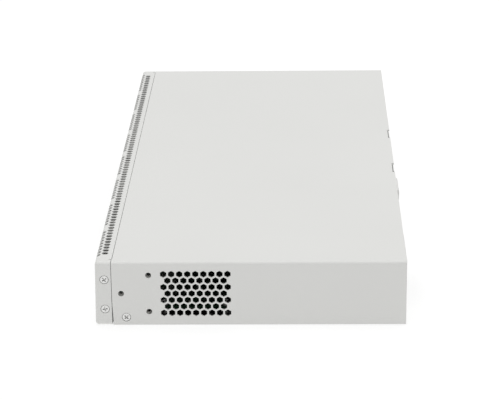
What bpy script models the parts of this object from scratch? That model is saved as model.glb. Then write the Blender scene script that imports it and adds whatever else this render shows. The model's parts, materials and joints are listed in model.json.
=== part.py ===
"""Rackmount network switch, one rack unit high.

A folded sheet-metal case (base tray, cover and slotted front bezel) holds a main board with
the port blocks, a small power supply and the mains inlet. The front faces -Y, +X is to the
right of somebody who looks at the front, and +Z is up. The origin is at the middle of the
footprint, on the surface that the switch stands on.
"""

import math

import bmesh
import bpy
from mathutils import Matrix, Vector

MM = 0.001

# Case
WIDTH = 440.0 * MM
HEIGHT = 44.0 * MM
BODY_DEPTH = 202.3 * MM
REAR_REACH = 3.0 * MM  # the earth screw stands this far out of the back
FRONT = -(BODY_DEPTH + REAR_REACH) / 2
BACK = FRONT + BODY_DEPTH
SIDE = WIDTH / 2
SHEET = 1.0 * MM
BEZEL_SHEET = 0.8 * MM
BEND = 2.3 * MM  # outer radius of the case's bends
BEND_STEPS = 2
GAP = 0.3 * MM
BEZEL_DEPTH = 11.35 * MM  # its top flange; the side flanges end a little sooner
SIDE_FLANGE_SHORTER = 0.35 * MM
COVER_START = FRONT + BEZEL_DEPTH + GAP
RELIEF_X = SIDE - 5.5 * MM  # the slits that part the bezel's top flange from its sides
PAST = 3.0 * MM  # how far a cutter runs past the sheet that it cuts
SCREW_HOLE = 1.6 * MM  # radius of a plain clearance hole

# Base tray
TRAY_SIDE = SIDE - 1.5 * MM
INSIDE_TRAY = SHEET + GAP
TRAY_FRONT = FRONT + 2.4 * MM
TRAY_BACK = BACK - GAP
TRAY_TOP = HEIGHT - SHEET - GAP
EAR_END = FRONT + 41.5 * MM  # the side walls stand full height up to here
EAR_TOP = 40.5 * MM
LOW_WALL = 5.5 * MM
TONGUE_X = (-45.0 * MM, 34.5 * MM)
TONGUE_WIDTH = 16.0 * MM
NOTCH_WIDTH = 20.4 * MM
NOTCH_DEPTH = 2.3 * MM
REAR_TAB_X = 70.0 * MM
REAR_TAB_WIDTH = 26.0 * MM
REAR_TAB_LOW = 33.0 * MM
REAR_TAB_OUT = 1.2 * MM
REAR_SCREW_Z = REAR_TAB_LOW + 5.0 * MM

# Hexagonal holes, punched in rows: the side vents and the bezel's two rows
HEXAGON_ACROSS = 4.1 * MM
VENT_START = FRONT + 45.0 * MM
VENT_TOP = 35.6 * MM
VENT_PITCH = 5.2 * MM
VENT_ROW = VENT_PITCH * math.sqrt(3) / 2
VENT_ROWS = 7
VENT_COLUMNS = 9
BEZEL_PITCH = 5.22 * MM
INNER_HOLES = 79
INNER_ROW_Y = FRONT + 6.3 * MM
OUTER_GROUPS = (9, 8, 8, 8, 8, 8, 8, 9)
GROUP_STEP = 3  # pitches between the last hole of a group and the first of the next
OUTER_TILT = math.radians(26)  # how far round the front bend the outer row lies

# Screws and rack-ear threads on each side, as (distance from the front, height)
BEZEL_SCREWS = {"upper": (6.6 * MM, 31.9 * MM), "lower": (6.6 * MM, 11.4 * MM)}
COVER_SCREW = (20.3 * MM, 5.6 * MM)
EAR_THREADS = {
    "front": (17.3 * MM, 22.2 * MM),
    "upper": (35.3 * MM, 34.9 * MM),
    "lower": (35.3 * MM, 9.5 * MM),
}
EAR_THREAD_RADIUS = 1.95 * MM
SCREW_HEAD = 2.8 * MM
SCREW_SHANK = 1.25 * MM
SCREW_LENGTH = 6.0 * MM
HEAD_SUNK = 0.1 * MM

# Boards
BOARD_LOW = 6.0 * MM
BOARD_TOP = 7.6 * MM
ON_BOARD = BOARD_TOP + GAP
BOARD_LEFT, BOARD_RIGHT = -208.0 * MM, 206.0 * MM
BOARD_FRONT, BOARD_BACK = FRONT + 4.0 * MM, FRONT + 90.0 * MM
BOARD_SCREWS = (
    (-200.0 * MM, FRONT + 47.0 * MM),
    (-200.0 * MM, FRONT + 84.0 * MM),
    (-15.0 * MM, FRONT + 84.0 * MM),
    (201.0 * MM, FRONT + 44.0 * MM),
    (201.0 * MM, FRONT + 85.0 * MM),
)
PSU_LOW = 7.0 * MM
PSU_TOP = 8.6 * MM
PSU_LEFT, PSU_RIGHT = 30.0 * MM, 140.0 * MM
PSU_FRONT, PSU_BACK = FRONT + 102.0 * MM, FRONT + 180.0 * MM
ON_PSU = PSU_TOP + GAP
HEADER_X, HEADER_Y = 21.0 * MM, FRONT + 83.5 * MM
HEADER_HEIGHT = 7.5 * MM

# Ports
PORT_FACE = FRONT + 0.4 * MM
PORT_PITCH = 13.97 * MM
PORT_COLUMNS = 6
PORT_WIDTH = 11.9 * MM
PORT_HEIGHT = 7.2 * MM
PORT_DEPTH = 14.5 * MM
LATCH_WIDE, LATCH_WIDE_HEIGHT = 6.4 * MM, 1.6 * MM
LATCH_NARROW, LATCH_HEIGHT = 3.6 * MM, 2.8 * MM
JACK_WALL = 0.9 * MM
BLOCK_WIDTH = 84.4 * MM
BLOCK_HEIGHT = 26.2 * MM
BLOCK_DEPTH = 32.0 * MM
BLOCK_X = {"port_block_left": -62.0 * MM, "port_block_right": 33.0 * MM}
CONSOLE_X = -160.0 * MM
CONSOLE_WIDTH = 15.6 * MM
CONSOLE_HEIGHT = 13.6 * MM
CONSOLE_DEPTH = 21.0 * MM
SFP_X = 125.0 * MM
SFP_WALL = 0.7 * MM
SFP_WIDTH = 14.3 * MM
SFP_HEIGHT = 9.6 * MM
SFP_BETWEEN_ROWS = 3.0 * MM
SFP_DEPTH = 48.0 * MM
WINDOW_MARGIN = 0.45 * MM

# Reset button and status lights
CONTROLS_X = -196.0 * MM
RESET_Z = 14.0 * MM
LIGHT_Z = (25.0 * MM, 30.0 * MM, 35.0 * MM)
LIGHT_RADIUS = 1.0 * MM
RESET_RADIUS = 1.35 * MM

# Mains inlet
INLET_X = 160.0 * MM
INLET_Z = 19.0 * MM
INLET_BODY = (27.0 * MM, 19.6 * MM)
INLET_CAVITY = (24.6 * MM, 16.6 * MM)
INLET_FLANGE = (50.0 * MM, 23.0 * MM)
INLET_SCREW_PITCH = 40.0 * MM
INLET_DEEP = 16.0 * MM
INLET_FLOOR = 2.5 * MM
FLANGE_THICK = 2.0 * MM
PIN_WIDTH, PIN_HEIGHT = 2.0 * MM, 4.0 * MM
PIN_BEHIND = 7.0 * MM  # how far a pin's tail stands out of the inlet's back
PINS = {"line": (-7.0 * MM, -2.0 * MM), "neutral": (7.0 * MM, -2.0 * MM), "earth": (0.0, 2.0 * MM)}
INLET_SCREW_X = {"left": INLET_X - INLET_SCREW_PITCH / 2, "right": INLET_X + INLET_SCREW_PITCH / 2}
EARTH_X = 196.0 * MM
EARTH_Z = 14.0 * MM
EARTH_SHANK = 1.8 * MM

for old in list(bpy.data.objects):
    bpy.data.objects.remove(old, do_unlink=True)

PARTS = bpy.data.collections.new("network_switch")
CUTTERS = bpy.data.collections.new("cutters")
bpy.context.scene.collection.children.link(PARTS)
bpy.context.scene.collection.children.link(CUTTERS)


def material(name, colour, roughness, metallic=0.0):
    made = bpy.data.materials.new(name)
    made.use_nodes = True
    shader = made.node_tree.nodes["Principled BSDF"]
    shader.inputs["Base Color"].default_value = (*colour, 1.0)
    shader.inputs["Roughness"].default_value = roughness
    shader.inputs["Metallic"].default_value = metallic
    made.diffuse_color = (*colour, 1.0)
    return made


CASE_PAINT = material("case_paint", (0.745, 0.745, 0.723), 0.55)
NICKEL = material("nickel", (0.82, 0.82, 0.80), 0.28, 1.0)
ZINC_STEEL = material("zinc_steel", (0.62, 0.62, 0.60), 0.35, 1.0)
BOARD_LACQUER = material("board_lacquer", (0.02, 0.11, 0.05), 0.4)
SHIELD_STEEL = material("shield_steel", (0.66, 0.65, 0.62), 0.3, 1.0)
BLACK_PLASTIC = material("black_plastic", (0.02, 0.02, 0.022), 0.5)
CHIP_EPOXY = material("chip_epoxy", (0.025, 0.025, 0.028), 0.6)
SINK_ALUMINIUM = material("sink_aluminium", (0.72, 0.73, 0.74), 0.38, 1.0)
WINDING_TAPE = material("winding_tape", (0.75, 0.60, 0.10), 0.45)
CAP_SLEEVE = material("capacitor_sleeve", (0.03, 0.05, 0.14), 0.35)
FERRITE = material("ferrite", (0.08, 0.30, 0.12), 0.45)
NYLON = material("white_nylon", (0.80, 0.79, 0.74), 0.45)
INSULATOR = material("insulator_sheet", (0.05, 0.05, 0.055), 0.3)
LIGHT_PLASTIC = material("light_pipe_plastic", (0.88, 0.90, 0.92), 0.1)
BLADE_METAL = material("plated_brass", (0.72, 0.66, 0.50), 0.28, 1.0)
WIRE_BROWN = material("wire_brown", (0.16, 0.06, 0.03), 0.45)
WIRE_BLUE = material("wire_blue", (0.03, 0.12, 0.45), 0.45)
WIRE_EARTH = material("wire_green_yellow", (0.25, 0.55, 0.05), 0.45)
WIRE_BLACK = material("wire_black", (0.02, 0.02, 0.02), 0.45)

SIGN = {"right": 1, "left": -1}
OUT_OF_SIDE = {side: Matrix.Rotation(sign * math.pi / 2, 4, "Y") for side, sign in SIGN.items()}
SIDE_HEXAGON = {side: turn @ Matrix.Rotation(math.pi / 2, 4, "Z") for side, turn in OUT_OF_SIDE.items()}
OUT_OF_FRONT = Matrix.Rotation(math.pi / 2, 4, "X")
OUT_OF_BACK = Matrix.Rotation(-math.pi / 2, 4, "X")
UPRIGHT = Matrix.Identity(4)


def place(name, bm, home, surface=None, matrix=None):
    """Turns a bmesh into an object of the given collection."""
    mesh = bpy.data.meshes.new(name)
    bm.to_mesh(mesh)
    bm.free()
    made = bpy.data.objects.new(name, mesh)
    home.objects.link(made)
    if surface:
        mesh.materials.append(surface)
    if matrix:
        made.matrix_world = matrix
    if home is CUTTERS:
        made.hide_render = True
        made.display_type = "WIRE"
    return made


def add_box(bm, low, high):
    low, high = Vector(low), Vector(high)
    size = Matrix.Diagonal((*(high - low), 1.0))
    bmesh.ops.create_cube(bm, size=1.0, matrix=Matrix.Translation((low + high) / 2) @ size)


def add_round(bm, centre, turn, radius, length=2 * PAST, sides=12):
    """A cylinder centred on a point, along the turn's Z axis."""
    bmesh.ops.create_cone(
        bm,
        cap_ends=True,
        segments=sides,
        radius1=radius,
        radius2=radius,
        depth=length,
        matrix=Matrix.Translation(centre) @ turn,
    )


def add_hexagon(bm, centre, turn):
    """The cutter of one hexagonal hole, with two of its corners on the turn's Y axis."""
    add_round(bm, centre, turn, HEXAGON_ACROSS / math.sqrt(3), sides=6)


def boxes(name, corners, home=CUTTERS, surface=None):
    bm = bmesh.new()
    for low, high in corners:
        add_box(bm, low, high)
    return place(name, bm, home, surface)


def block(name, low, high, surface, bevel=0.0):
    """A box-shaped piece with its origin at its own centre."""
    low, high = Vector(low), Vector(high)
    half = (high - low) / 2
    bm = bmesh.new()
    add_box(bm, -half, half)
    made = place(name, bm, PARTS, surface, Matrix.Translation((low + high) / 2))
    if bevel:
        edge = made.modifiers.new("edges", "BEVEL")
        edge.width = bevel
        edge.segments = 1
    return made


def boolean(target, other, operation="DIFFERENCE"):
    joined = target.modifiers.new(f"{operation.lower()}_{other.name}"[:60], "BOOLEAN")
    joined.operation = operation
    joined.solver = "EXACT"
    joined.object = other


def thicken(target, thickness):
    shell = target.modifiers.new("sheet", "SOLIDIFY")
    shell.thickness = thickness
    shell.offset = -1.0
    shell.use_even_offset = True


def turned(name, profile, surface, matrix, steps=10, ring=False, home=PARTS):
    """A turned piece: its profile in X and Z goes round the local Z axis. A ring's profile is closed."""
    bm = bmesh.new()
    points = [bm.verts.new((x, 0.0, z)) for x, z in profile]
    for first, second in zip(points, points[1:]):
        bm.edges.new((first, second))
    if ring:
        bm.edges.new((points[-1], points[0]))
    made = place(name, bm, home, surface, matrix)
    screw = made.modifiers.new("turn", "SCREW")
    screw.axis = "Z"
    screw.steps = steps
    screw.render_steps = steps
    screw.use_merge_vertices = True
    screw.merge_threshold = 0.00001
    screw.use_smooth_shade = False
    return made


def cross_recess(name, matrix, reach, width, depth):
    """The driver's cross, as a prism sunk into a screw's head."""
    w, r = width / 2, reach
    outline = [(w, r), (-w, r), (-w, w), (-r, w), (-r, -w), (-w, -w)]
    outline += [(-x, -y) for x, y in outline]
    bm = bmesh.new()
    face = bm.faces.new([bm.verts.new((x, y, -depth)) for x, y in outline])
    top = bmesh.ops.extrude_face_region(bm, geom=[face])["geom"]
    moved = [v for v in top if isinstance(v, bmesh.types.BMVert)]
    bmesh.ops.translate(bm, verts=moved, vec=(0, 0, 2 * depth))
    bmesh.ops.recalc_face_normals(bm, faces=bm.faces)
    return place(name, bm, CUTTERS, None, matrix)


def countersunk_screw(name, head_top, turn, spin):
    """A countersunk screw whose head's flat top has its centre at head_top."""
    cone, length = 1.5 * MM, SCREW_LENGTH
    rim = 0.2 * MM
    profile = [
        (0.0, 0.0),
        (SCREW_HEAD, 0.0),
        (SCREW_HEAD, -rim),
        (SCREW_SHANK, -cone),
        (SCREW_SHANK, -length),
        (0.0, -length),
    ]
    matrix = Matrix.Translation(head_top) @ turn @ Matrix.Rotation(spin, 4, "Z")
    made = turned(name, profile, NICKEL, matrix)
    boolean(made, cross_recess(f"{name}_cross", matrix, 1.6 * MM, 0.8 * MM, 1.0 * MM))


def pan_screw(name, under_head, turn, head_radius, head_height, shank_radius):
    """A pan-head screw; under_head is the middle of the head's seat."""
    shoulder = 0.6 * MM
    profile = [
        (0.0, head_height),
        (head_radius - shoulder, head_height),
        (head_radius, head_height - shoulder),
        (head_radius, 0.0),
        (shank_radius, 0.0),
        (shank_radius, -SCREW_LENGTH),
        (0.0, -SCREW_LENGTH),
    ]
    matrix = Matrix.Translation(under_head) @ turn
    made = turned(name, profile, NICKEL, matrix, steps=8)
    on_head = matrix @ Matrix.Translation((0, 0, head_height))
    boolean(made, cross_recess(f"{name}_cross", on_head, head_radius * 0.55, 0.9 * MM, 1.1 * MM))


def wire(name, route, radius, surface):
    """A wire along a smooth curve through the route's points."""
    points = []
    last = len(route) - 1
    pieces = 4
    for i in range(last):
        before, start = Vector(route[max(i - 1, 0)]), Vector(route[i])
        end, after = Vector(route[i + 1]), Vector(route[min(i + 2, last)])
        for step in range(pieces):
            t = step / pieces
            bend = start * 2 + (end - before) * t
            bend += (before * 2 - start * 5 + end * 4 - after) * t**2
            bend += (start * 3 - before - end * 3 + after) * t**3
            points.append(bend / 2)
    points.append(Vector(route[-1]))
    curve = bpy.data.curves.new(name, "CURVE")
    curve.dimensions = "3D"
    spline = curve.splines.new("POLY")
    spline.points.add(len(points) - 1)
    for slot, point in zip(spline.points, points):
        slot.co = (*point, 1.0)
    curve.bevel_depth = radius
    curve.bevel_resolution = 1
    curve.use_fill_caps = True
    curve.materials.append(surface)
    made = bpy.data.objects.new(name, curve)
    PARTS.objects.link(made)
    return made


def side_point(side, inset, spot):
    """A point on a side of the case: spot is its distance from the front and its height."""
    return (SIGN[side] * (SIDE - inset), FRONT + spot[0], spot[1])


def countersink(target, name, surface_point, turn):
    """Cuts the seat of a countersunk screw, and its hole, into a sheet or a flange."""
    around = 0.3 * MM
    rim, cone_end = 0.45 * MM, 1.75 * MM
    hole = SCREW_SHANK + around
    profile = [
        (0.0, PAST),
        (SCREW_HEAD + around, PAST),
        (SCREW_HEAD + around, -rim),
        (hole, -cone_end),
        (hole, -2 * PAST),
        (0.0, -2 * PAST),
    ]
    boolean(target, turned(name, profile, None, Matrix.Translation(surface_point) @ turn, home=CUTTERS))


def outer_row_places():
    """Where the holes that wrap over the bezel's front bend lie along X, group by group."""
    numbers = []
    first = 0
    for count in OUTER_GROUPS:
        numbers += range(first, first + count)
        first += count - 1 + GROUP_STEP
    middle = numbers[-1] / 2
    return [(number - middle) * BEZEL_PITCH for number in numbers]


def base_tray():
    bm = bmesh.new()
    add_box(bm, (-TRAY_SIDE, TRAY_FRONT, 0.0), (TRAY_SIDE, TRAY_BACK, TRAY_TOP))
    bm.faces.ensure_lookup_table()
    open_faces = [f for f in bm.faces if f.normal.z > 0.5 or f.normal.y < -0.5]
    bmesh.ops.delete(bm, geom=open_faces, context="FACES_ONLY")
    tray = place("base_tray", bm, PARTS, CASE_PAINT)
    thicken(tray, SHEET)

    # The floor starts behind the bezel's lower flange, and the side walls drop behind the ears.
    bend_room = 1.2 * MM
    wall_end = TRAY_BACK - SHEET - bend_room
    boolean(tray, boxes("tray_front_cut", [(
        (-SIDE, FRONT - PAST, -PAST),
        (SIDE, COVER_START, BEND + GAP),
    )]))
    wall_cuts, corner_cuts = [], []
    for sign in (-1, 1):
        outer, inner = sign * (SIDE + PAST), sign * (TRAY_SIDE - SHEET - PAST)
        low_x, high_x = min(outer, inner), max(outer, inner)
        wall_cuts.append(((low_x, EAR_END, LOW_WALL), (high_x, wall_end, HEIGHT + PAST)))
        corner_cuts.append(((low_x, FRONT - PAST, EAR_TOP), (high_x, EAR_END + SHEET, HEIGHT + PAST)))
        corner = sign * (TRAY_SIDE - SHEET)
        low_x, high_x = min(corner, outer), max(corner, outer)
        corner_cuts.append((
            (low_x, wall_end - SHEET, TRAY_TOP - SHEET),
            (high_x, BACK + PAST, HEIGHT + PAST),
        ))
    boolean(tray, boxes("tray_wall_cuts", wall_cuts))
    boolean(tray, boxes("tray_corner_cuts", corner_cuts))

    # Two tongues on the rear wall stand up into notches of the cover.
    inside, overlap = 0.1 * MM, 1.5 * MM
    for number, x in enumerate(TONGUE_X, 1):
        boolean(tray, boxes(f"tray_tongue_{number}", [(
            (x - TONGUE_WIDTH / 2, TRAY_BACK - SHEET + inside, TRAY_TOP - overlap),
            (x + TONGUE_WIDTH / 2, TRAY_BACK - inside, HEIGHT - inside),
        )]), "UNION")

    bm = bmesh.new()
    through = SIDE - TRAY_SIDE + SHEET / 2
    for side, turn in OUT_OF_SIDE.items():
        for spot in (*BEZEL_SCREWS.values(), COVER_SCREW):
            add_round(bm, side_point(side, through, spot), turn, SCREW_HOLE, 4 * SHEET)
        for spot in EAR_THREADS.values():
            add_round(bm, side_point(side, through, spot), turn, EAR_THREAD_RADIUS, 4 * SHEET)
    for x in INLET_SCREW_X.values():
        add_round(bm, (x, BACK, INLET_Z), OUT_OF_BACK, SCREW_HOLE)
    add_round(bm, (EARTH_X, BACK, EARTH_Z), OUT_OF_BACK, EARTH_SHANK + 0.4 * MM)
    add_round(bm, (REAR_TAB_X, BACK, REAR_SCREW_Z), OUT_OF_BACK, SCREW_HOLE)
    half_x, half_z = INLET_BODY[0] / 2 + GAP, INLET_BODY[1] / 2 + GAP
    add_box(
        bm,
        (INLET_X - half_x, BACK - PAST, INLET_Z - half_z),
        (INLET_X + half_x, BACK + PAST, INLET_Z + half_z),
    )
    boolean(tray, place("tray_holes", bm, CUTTERS))


def vent_cutter(side):
    bm = bmesh.new()
    for row in range(VENT_ROWS):
        columns = VENT_COLUMNS - row % 2
        for column in range(columns):
            y = VENT_START + (column + (row % 2) / 2) * VENT_PITCH
            z = VENT_TOP - row * VENT_ROW
            add_hexagon(bm, (SIGN[side] * SIDE, y, z), SIDE_HEXAGON[side])
    return place(f"vent_{side}", bm, CUTTERS)


def cover_profile():
    """The cover's section from the foot of one side, over the top, to the foot of the other."""
    points = [(SIDE, GAP)]
    for sign in (1, -1):
        for step in range(BEND_STEPS + 1):
            angle = step / BEND_STEPS * math.pi / 2
            if sign < 0:
                angle = math.pi / 2 - angle
            x = SIDE - BEND + BEND * math.cos(angle)
            points.append((sign * x, HEIGHT - BEND + BEND * math.sin(angle)))
    points.append((-SIDE, GAP))
    return points


def top_cover():
    bm = bmesh.new()
    near = [bm.verts.new((x, COVER_START, z)) for x, z in cover_profile()]
    far = [bm.verts.new((v.co.x, BACK, v.co.z)) for v in near]
    for i in range(len(near) - 1):
        bm.faces.new((near[i], far[i], far[i + 1], near[i + 1]))
    bm.normal_update()
    bm.faces.ensure_lookup_table()
    if bm.faces[0].normal.x < 0:
        bmesh.ops.reverse_faces(bm, faces=bm.faces)
    cover = place("top_cover", bm, PARTS, CASE_PAINT)
    thicken(cover, SHEET)

    # The tab at the back is folded down over the rear wall.
    fold, below_top = REAR_TAB_WIDTH / 2, 0.05 * MM
    tab = boxes("cover_tab", [(
        (REAR_TAB_X - fold, BACK - 1.5 * SHEET, REAR_TAB_LOW),
        (REAR_TAB_X + fold, BACK + REAR_TAB_OUT, HEIGHT - below_top),
    )])
    rounding = tab.modifiers.new("fold", "BEVEL")
    rounding.width = 1.0 * MM
    rounding.segments = 2
    boolean(cover, tab, "UNION")
    boolean(cover, boxes("cover_tab_inside", [(
        (REAR_TAB_X - fold - PAST, BACK - 2 * PAST, REAR_TAB_LOW - PAST),
        (REAR_TAB_X + fold + PAST, BACK, HEIGHT - SHEET),
    )]))
    boolean(cover, boxes("cover_notches", [
        (
            (x - NOTCH_WIDTH / 2, BACK - NOTCH_DEPTH, HEIGHT - PAST),
            (x + NOTCH_WIDTH / 2, BACK + PAST, HEIGHT + PAST),
        )
        for x in TONGUE_X
    ]))
    bm = bmesh.new()
    for side, turn in OUT_OF_SIDE.items():
        countersink(cover, f"cover_countersink_{side}", side_point(side, 0.0, COVER_SCREW), turn)
        for spot in EAR_THREADS.values():
            add_round(bm, side_point(side, 0.0, spot), turn, EAR_THREAD_RADIUS)
    add_round(bm, (REAR_TAB_X, BACK, REAR_SCREW_Z), OUT_OF_BACK, SCREW_SHANK + GAP)
    boolean(cover, place("cover_holes", bm, CUTTERS))
    for side in OUT_OF_SIDE:
        boolean(cover, vent_cutter(side))


def bezel_windows():
    """Low and high corners, in X and Z, of the openings in the bezel's face."""
    windows = [
        (x - BLOCK_WIDTH / 2, ON_BOARD, x + BLOCK_WIDTH / 2, ON_BOARD + BLOCK_HEIGHT)
        for x in BLOCK_X.values()
    ]
    half = CONSOLE_WIDTH / 2
    windows.append((CONSOLE_X - half, ON_BOARD, CONSOLE_X + half, ON_BOARD + CONSOLE_HEIGHT))
    half = sfp_size()[0] / 2
    windows.append((SFP_X - half, ON_BOARD, SFP_X + half, ON_BOARD + sfp_size()[1]))
    return windows


def front_bezel():
    bm = bmesh.new()
    add_box(bm, (-SIDE, FRONT, 0.0), (SIDE, FRONT + BEZEL_DEPTH, HEIGHT))
    back_face = [f for f in bm.faces if f.normal.y > 0.5]
    bmesh.ops.delete(bm, geom=back_face, context="FACES_ONLY")
    bent = [e for e in bm.edges if not e.is_boundary]
    bmesh.ops.bevel(bm, geom=bent, offset=BEND, segments=BEND_STEPS, profile=0.5, affect="EDGES")
    bezel = place("front_bezel", bm, PARTS, CASE_PAINT)
    thicken(bezel, BEZEL_SHEET)

    m = WINDOW_MARGIN
    boolean(bezel, boxes("bezel_windows", [
        ((x0 - m, FRONT - PAST, z0 - m), (x1 + m, FRONT + PAST, z1 + m))
        for x0, z0, x1, z1 in bezel_windows()
    ]))
    bm = bmesh.new()
    for number in range(INNER_HOLES):
        x = (number - (INNER_HOLES - 1) / 2) * BEZEL_PITCH
        add_hexagon(bm, (x, INNER_ROW_Y, HEIGHT), UPRIGHT)
    boolean(bezel, place("bezel_inner_row", bm, CUTTERS))
    bm = bmesh.new()
    outer_y = FRONT + BEND * (1 - math.sin(OUTER_TILT))
    outer_z = HEIGHT - BEND * (1 - math.cos(OUTER_TILT))
    tilted = Matrix.Rotation(OUTER_TILT, 4, "X")
    for x in outer_row_places():
        add_hexagon(bm, (x, outer_y, outer_z), tilted)
    boolean(bezel, place("bezel_outer_row", bm, CUTTERS))
    for side, turn in OUT_OF_SIDE.items():
        for level, spot in BEZEL_SCREWS.items():
            countersink(bezel, f"bezel_countersink_{side}_{level}", side_point(side, 0.0, spot), turn)
    bm = bmesh.new()
    for z in LIGHT_Z:
        add_round(bm, (CONTROLS_X, FRONT, z), OUT_OF_BACK, LIGHT_RADIUS + GAP)
    add_round(bm, (CONTROLS_X, FRONT, RESET_Z), OUT_OF_BACK, RESET_RADIUS + GAP)
    boolean(bezel, place("bezel_holes", bm, CUTTERS))

    # A relief slit at each end of the top flange, beyond which the side flange is shorter
    end = FRONT + BEZEL_DEPTH
    slit_width, slit_depth = 0.8 * MM, 1.8 * MM
    reliefs, ends = [], []
    for sign in (-1, 1):
        near, far = sign * (RELIEF_X - slit_width / 2), sign * (RELIEF_X + slit_width / 2)
        outside = sign * (SIDE + PAST)
        reliefs.append((
            (min(near, far), end - slit_depth, HEIGHT - PAST),
            (max(near, far), end + PAST, HEIGHT + PAST),
        ))
        ends.append((
            (min(sign * RELIEF_X, outside), end - SIDE_FLANGE_SHORTER, -PAST),
            (max(sign * RELIEF_X, outside), end + PAST, HEIGHT + PAST),
        ))
    boolean(bezel, boxes("bezel_relief", reliefs))
    boolean(bezel, boxes("bezel_side_ends", ends))


def case_screws():
    spins = {"right_upper": 0.5, "right_lower": 0.2, "left_upper": 0.9, "left_lower": 1.3}
    for side, turn in OUT_OF_SIDE.items():
        for level, spot in BEZEL_SCREWS.items():
            place_name = f"{side}_{level}"
            head = side_point(side, HEAD_SUNK, spot)
            countersunk_screw(f"bezel_screw_{place_name}", head, turn, spins[place_name])
        head = side_point(side, HEAD_SUNK, COVER_SCREW)
        countersunk_screw(f"cover_screw_{side}", head, turn, 0.75)
    seat = (REAR_TAB_X, BACK + REAR_TAB_OUT + GAP, REAR_SCREW_Z)
    pan_screw("cover_screw_rear", seat, OUT_OF_BACK, 2.7 * MM, 1.2 * MM, SCREW_SHANK)


def clinch_nuts():
    length = 2.4 * MM
    outer, flange = 3.0 * MM, 3.6 * MM
    flange_thick = 0.8 * MM
    inner = SIDE - TRAY_SIDE + INSIDE_TRAY
    profile = [
        (outer, 0.0),
        (outer, -(length - flange_thick)),
        (flange, -(length - flange_thick)),
        (flange, -length),
        (EAR_THREAD_RADIUS, -length),
        (EAR_THREAD_RADIUS, 0.0),
    ]
    for side, turn in OUT_OF_SIDE.items():
        for level, spot in EAR_THREADS.items():
            matrix = Matrix.Translation(side_point(side, inner, spot)) @ turn
            turned(f"clinch_nut_{side}_{level}", profile, ZINC_STEEL, matrix, ring=True)


def main_board():
    board = block(
        "main_board",
        (BOARD_LEFT, BOARD_FRONT, BOARD_LOW),
        (BOARD_RIGHT, BOARD_BACK, BOARD_TOP),
        BOARD_LACQUER,
    )
    bm = bmesh.new()
    for x, y in BOARD_SCREWS:
        add_round(bm, (x, y, BOARD_LOW), UPRIGHT, SCREW_HOLE)
    boolean(board, place("board_holes", bm, CUTTERS))

    bore, outer = 1.55 * MM, 3.0 * MM
    tall = BOARD_LOW - GAP - INSIDE_TRAY
    ring = [(outer, tall), (outer, 0.0), (bore, 0.0), (bore, tall)]
    for number, (x, y) in enumerate(BOARD_SCREWS, 1):
        matrix = Matrix.Translation((x, y, INSIDE_TRAY))
        turned(f"board_standoff_{number}", ring, ZINC_STEEL, matrix, steps=8, ring=True)
        seat = (x, y, ON_BOARD)
        pan_screw(f"board_screw_{number}", seat, UPRIGHT, 2.8 * MM, 1.9 * MM, SCREW_SHANK)


def cavity_corners(x, z_low, latch_up):
    """The cavity of one port, as boxes: the plug's room, and two steps for its latch."""
    start, end = PORT_FACE - PAST, PORT_FACE + PORT_DEPTH
    z_high = z_low + PORT_HEIGHT
    room = ((x - PORT_WIDTH / 2, start, z_low), (x + PORT_WIDTH / 2, end, z_high))
    steps = []
    for width, height in ((LATCH_WIDE, LATCH_WIDE_HEIGHT), (LATCH_NARROW, LATCH_HEIGHT)):
        low, high = (z_high - MM, z_high + height) if latch_up else (z_low - height, z_low + MM)
        steps.append(((x - width / 2, start, low), (x + width / 2, end - MM, high)))
    return room, steps


def cut_ports(target, ports):
    rooms, wide, narrow = [], [], []
    for x, z_low, latch_up in ports:
        room, steps = cavity_corners(x, z_low, latch_up)
        rooms.append(room)
        wide.append(steps[0])
        narrow.append(steps[1])
    for label, corners in (("rooms", rooms), ("latch_wide", wide), ("latch_narrow", narrow)):
        boolean(target, boxes(f"{target.name}_{label}", corners))


def port_block(name, middle):
    made = block(
        name,
        (middle - BLOCK_WIDTH / 2, PORT_FACE, ON_BOARD),
        (middle + BLOCK_WIDTH / 2, PORT_FACE + BLOCK_DEPTH, ON_BOARD + BLOCK_HEIGHT),
        SHIELD_STEEL,
    )
    ports = []
    for column in range(PORT_COLUMNS):
        x = middle + (column - (PORT_COLUMNS - 1) / 2) * PORT_PITCH
        ports.append((x, ON_BOARD + JACK_WALL + LATCH_HEIGHT, False))
        ports.append((x, ON_BOARD + BLOCK_HEIGHT - JACK_WALL - LATCH_HEIGHT - PORT_HEIGHT, True))
    cut_ports(made, ports)


def console_jack():
    jack = block(
        "console_jack",
        (CONSOLE_X - CONSOLE_WIDTH / 2, PORT_FACE, ON_BOARD),
        (CONSOLE_X + CONSOLE_WIDTH / 2, PORT_FACE + CONSOLE_DEPTH, ON_BOARD + CONSOLE_HEIGHT),
        SHIELD_STEEL,
    )
    cut_ports(jack, [(CONSOLE_X, ON_BOARD + JACK_WALL + LATCH_HEIGHT, False)])


def sfp_size():
    width = 2 * SFP_WIDTH + 3 * SFP_WALL
    height = 2 * SFP_HEIGHT + SFP_BETWEEN_ROWS + 2 * SFP_WALL
    return width, height


def sfp_cage():
    width, height = sfp_size()
    left = SFP_X - width / 2
    cage = block(
        "sfp_cage",
        (left, PORT_FACE, ON_BOARD),
        (left + width, PORT_FACE + SFP_DEPTH, ON_BOARD + height),
        SHIELD_STEEL,
    )
    rooms = []
    for column in range(2):
        x = left + SFP_WALL + column * (SFP_WIDTH + SFP_WALL)
        for row in range(2):
            z = ON_BOARD + SFP_WALL + row * (SFP_HEIGHT + SFP_BETWEEN_ROWS)
            end = PORT_FACE + SFP_DEPTH - SFP_WALL
            rooms.append(((x, PORT_FACE - PAST, z), (x + SFP_WIDTH, end, z + SFP_HEIGHT)))
    boolean(cage, boxes("sfp_rooms", rooms))


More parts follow.
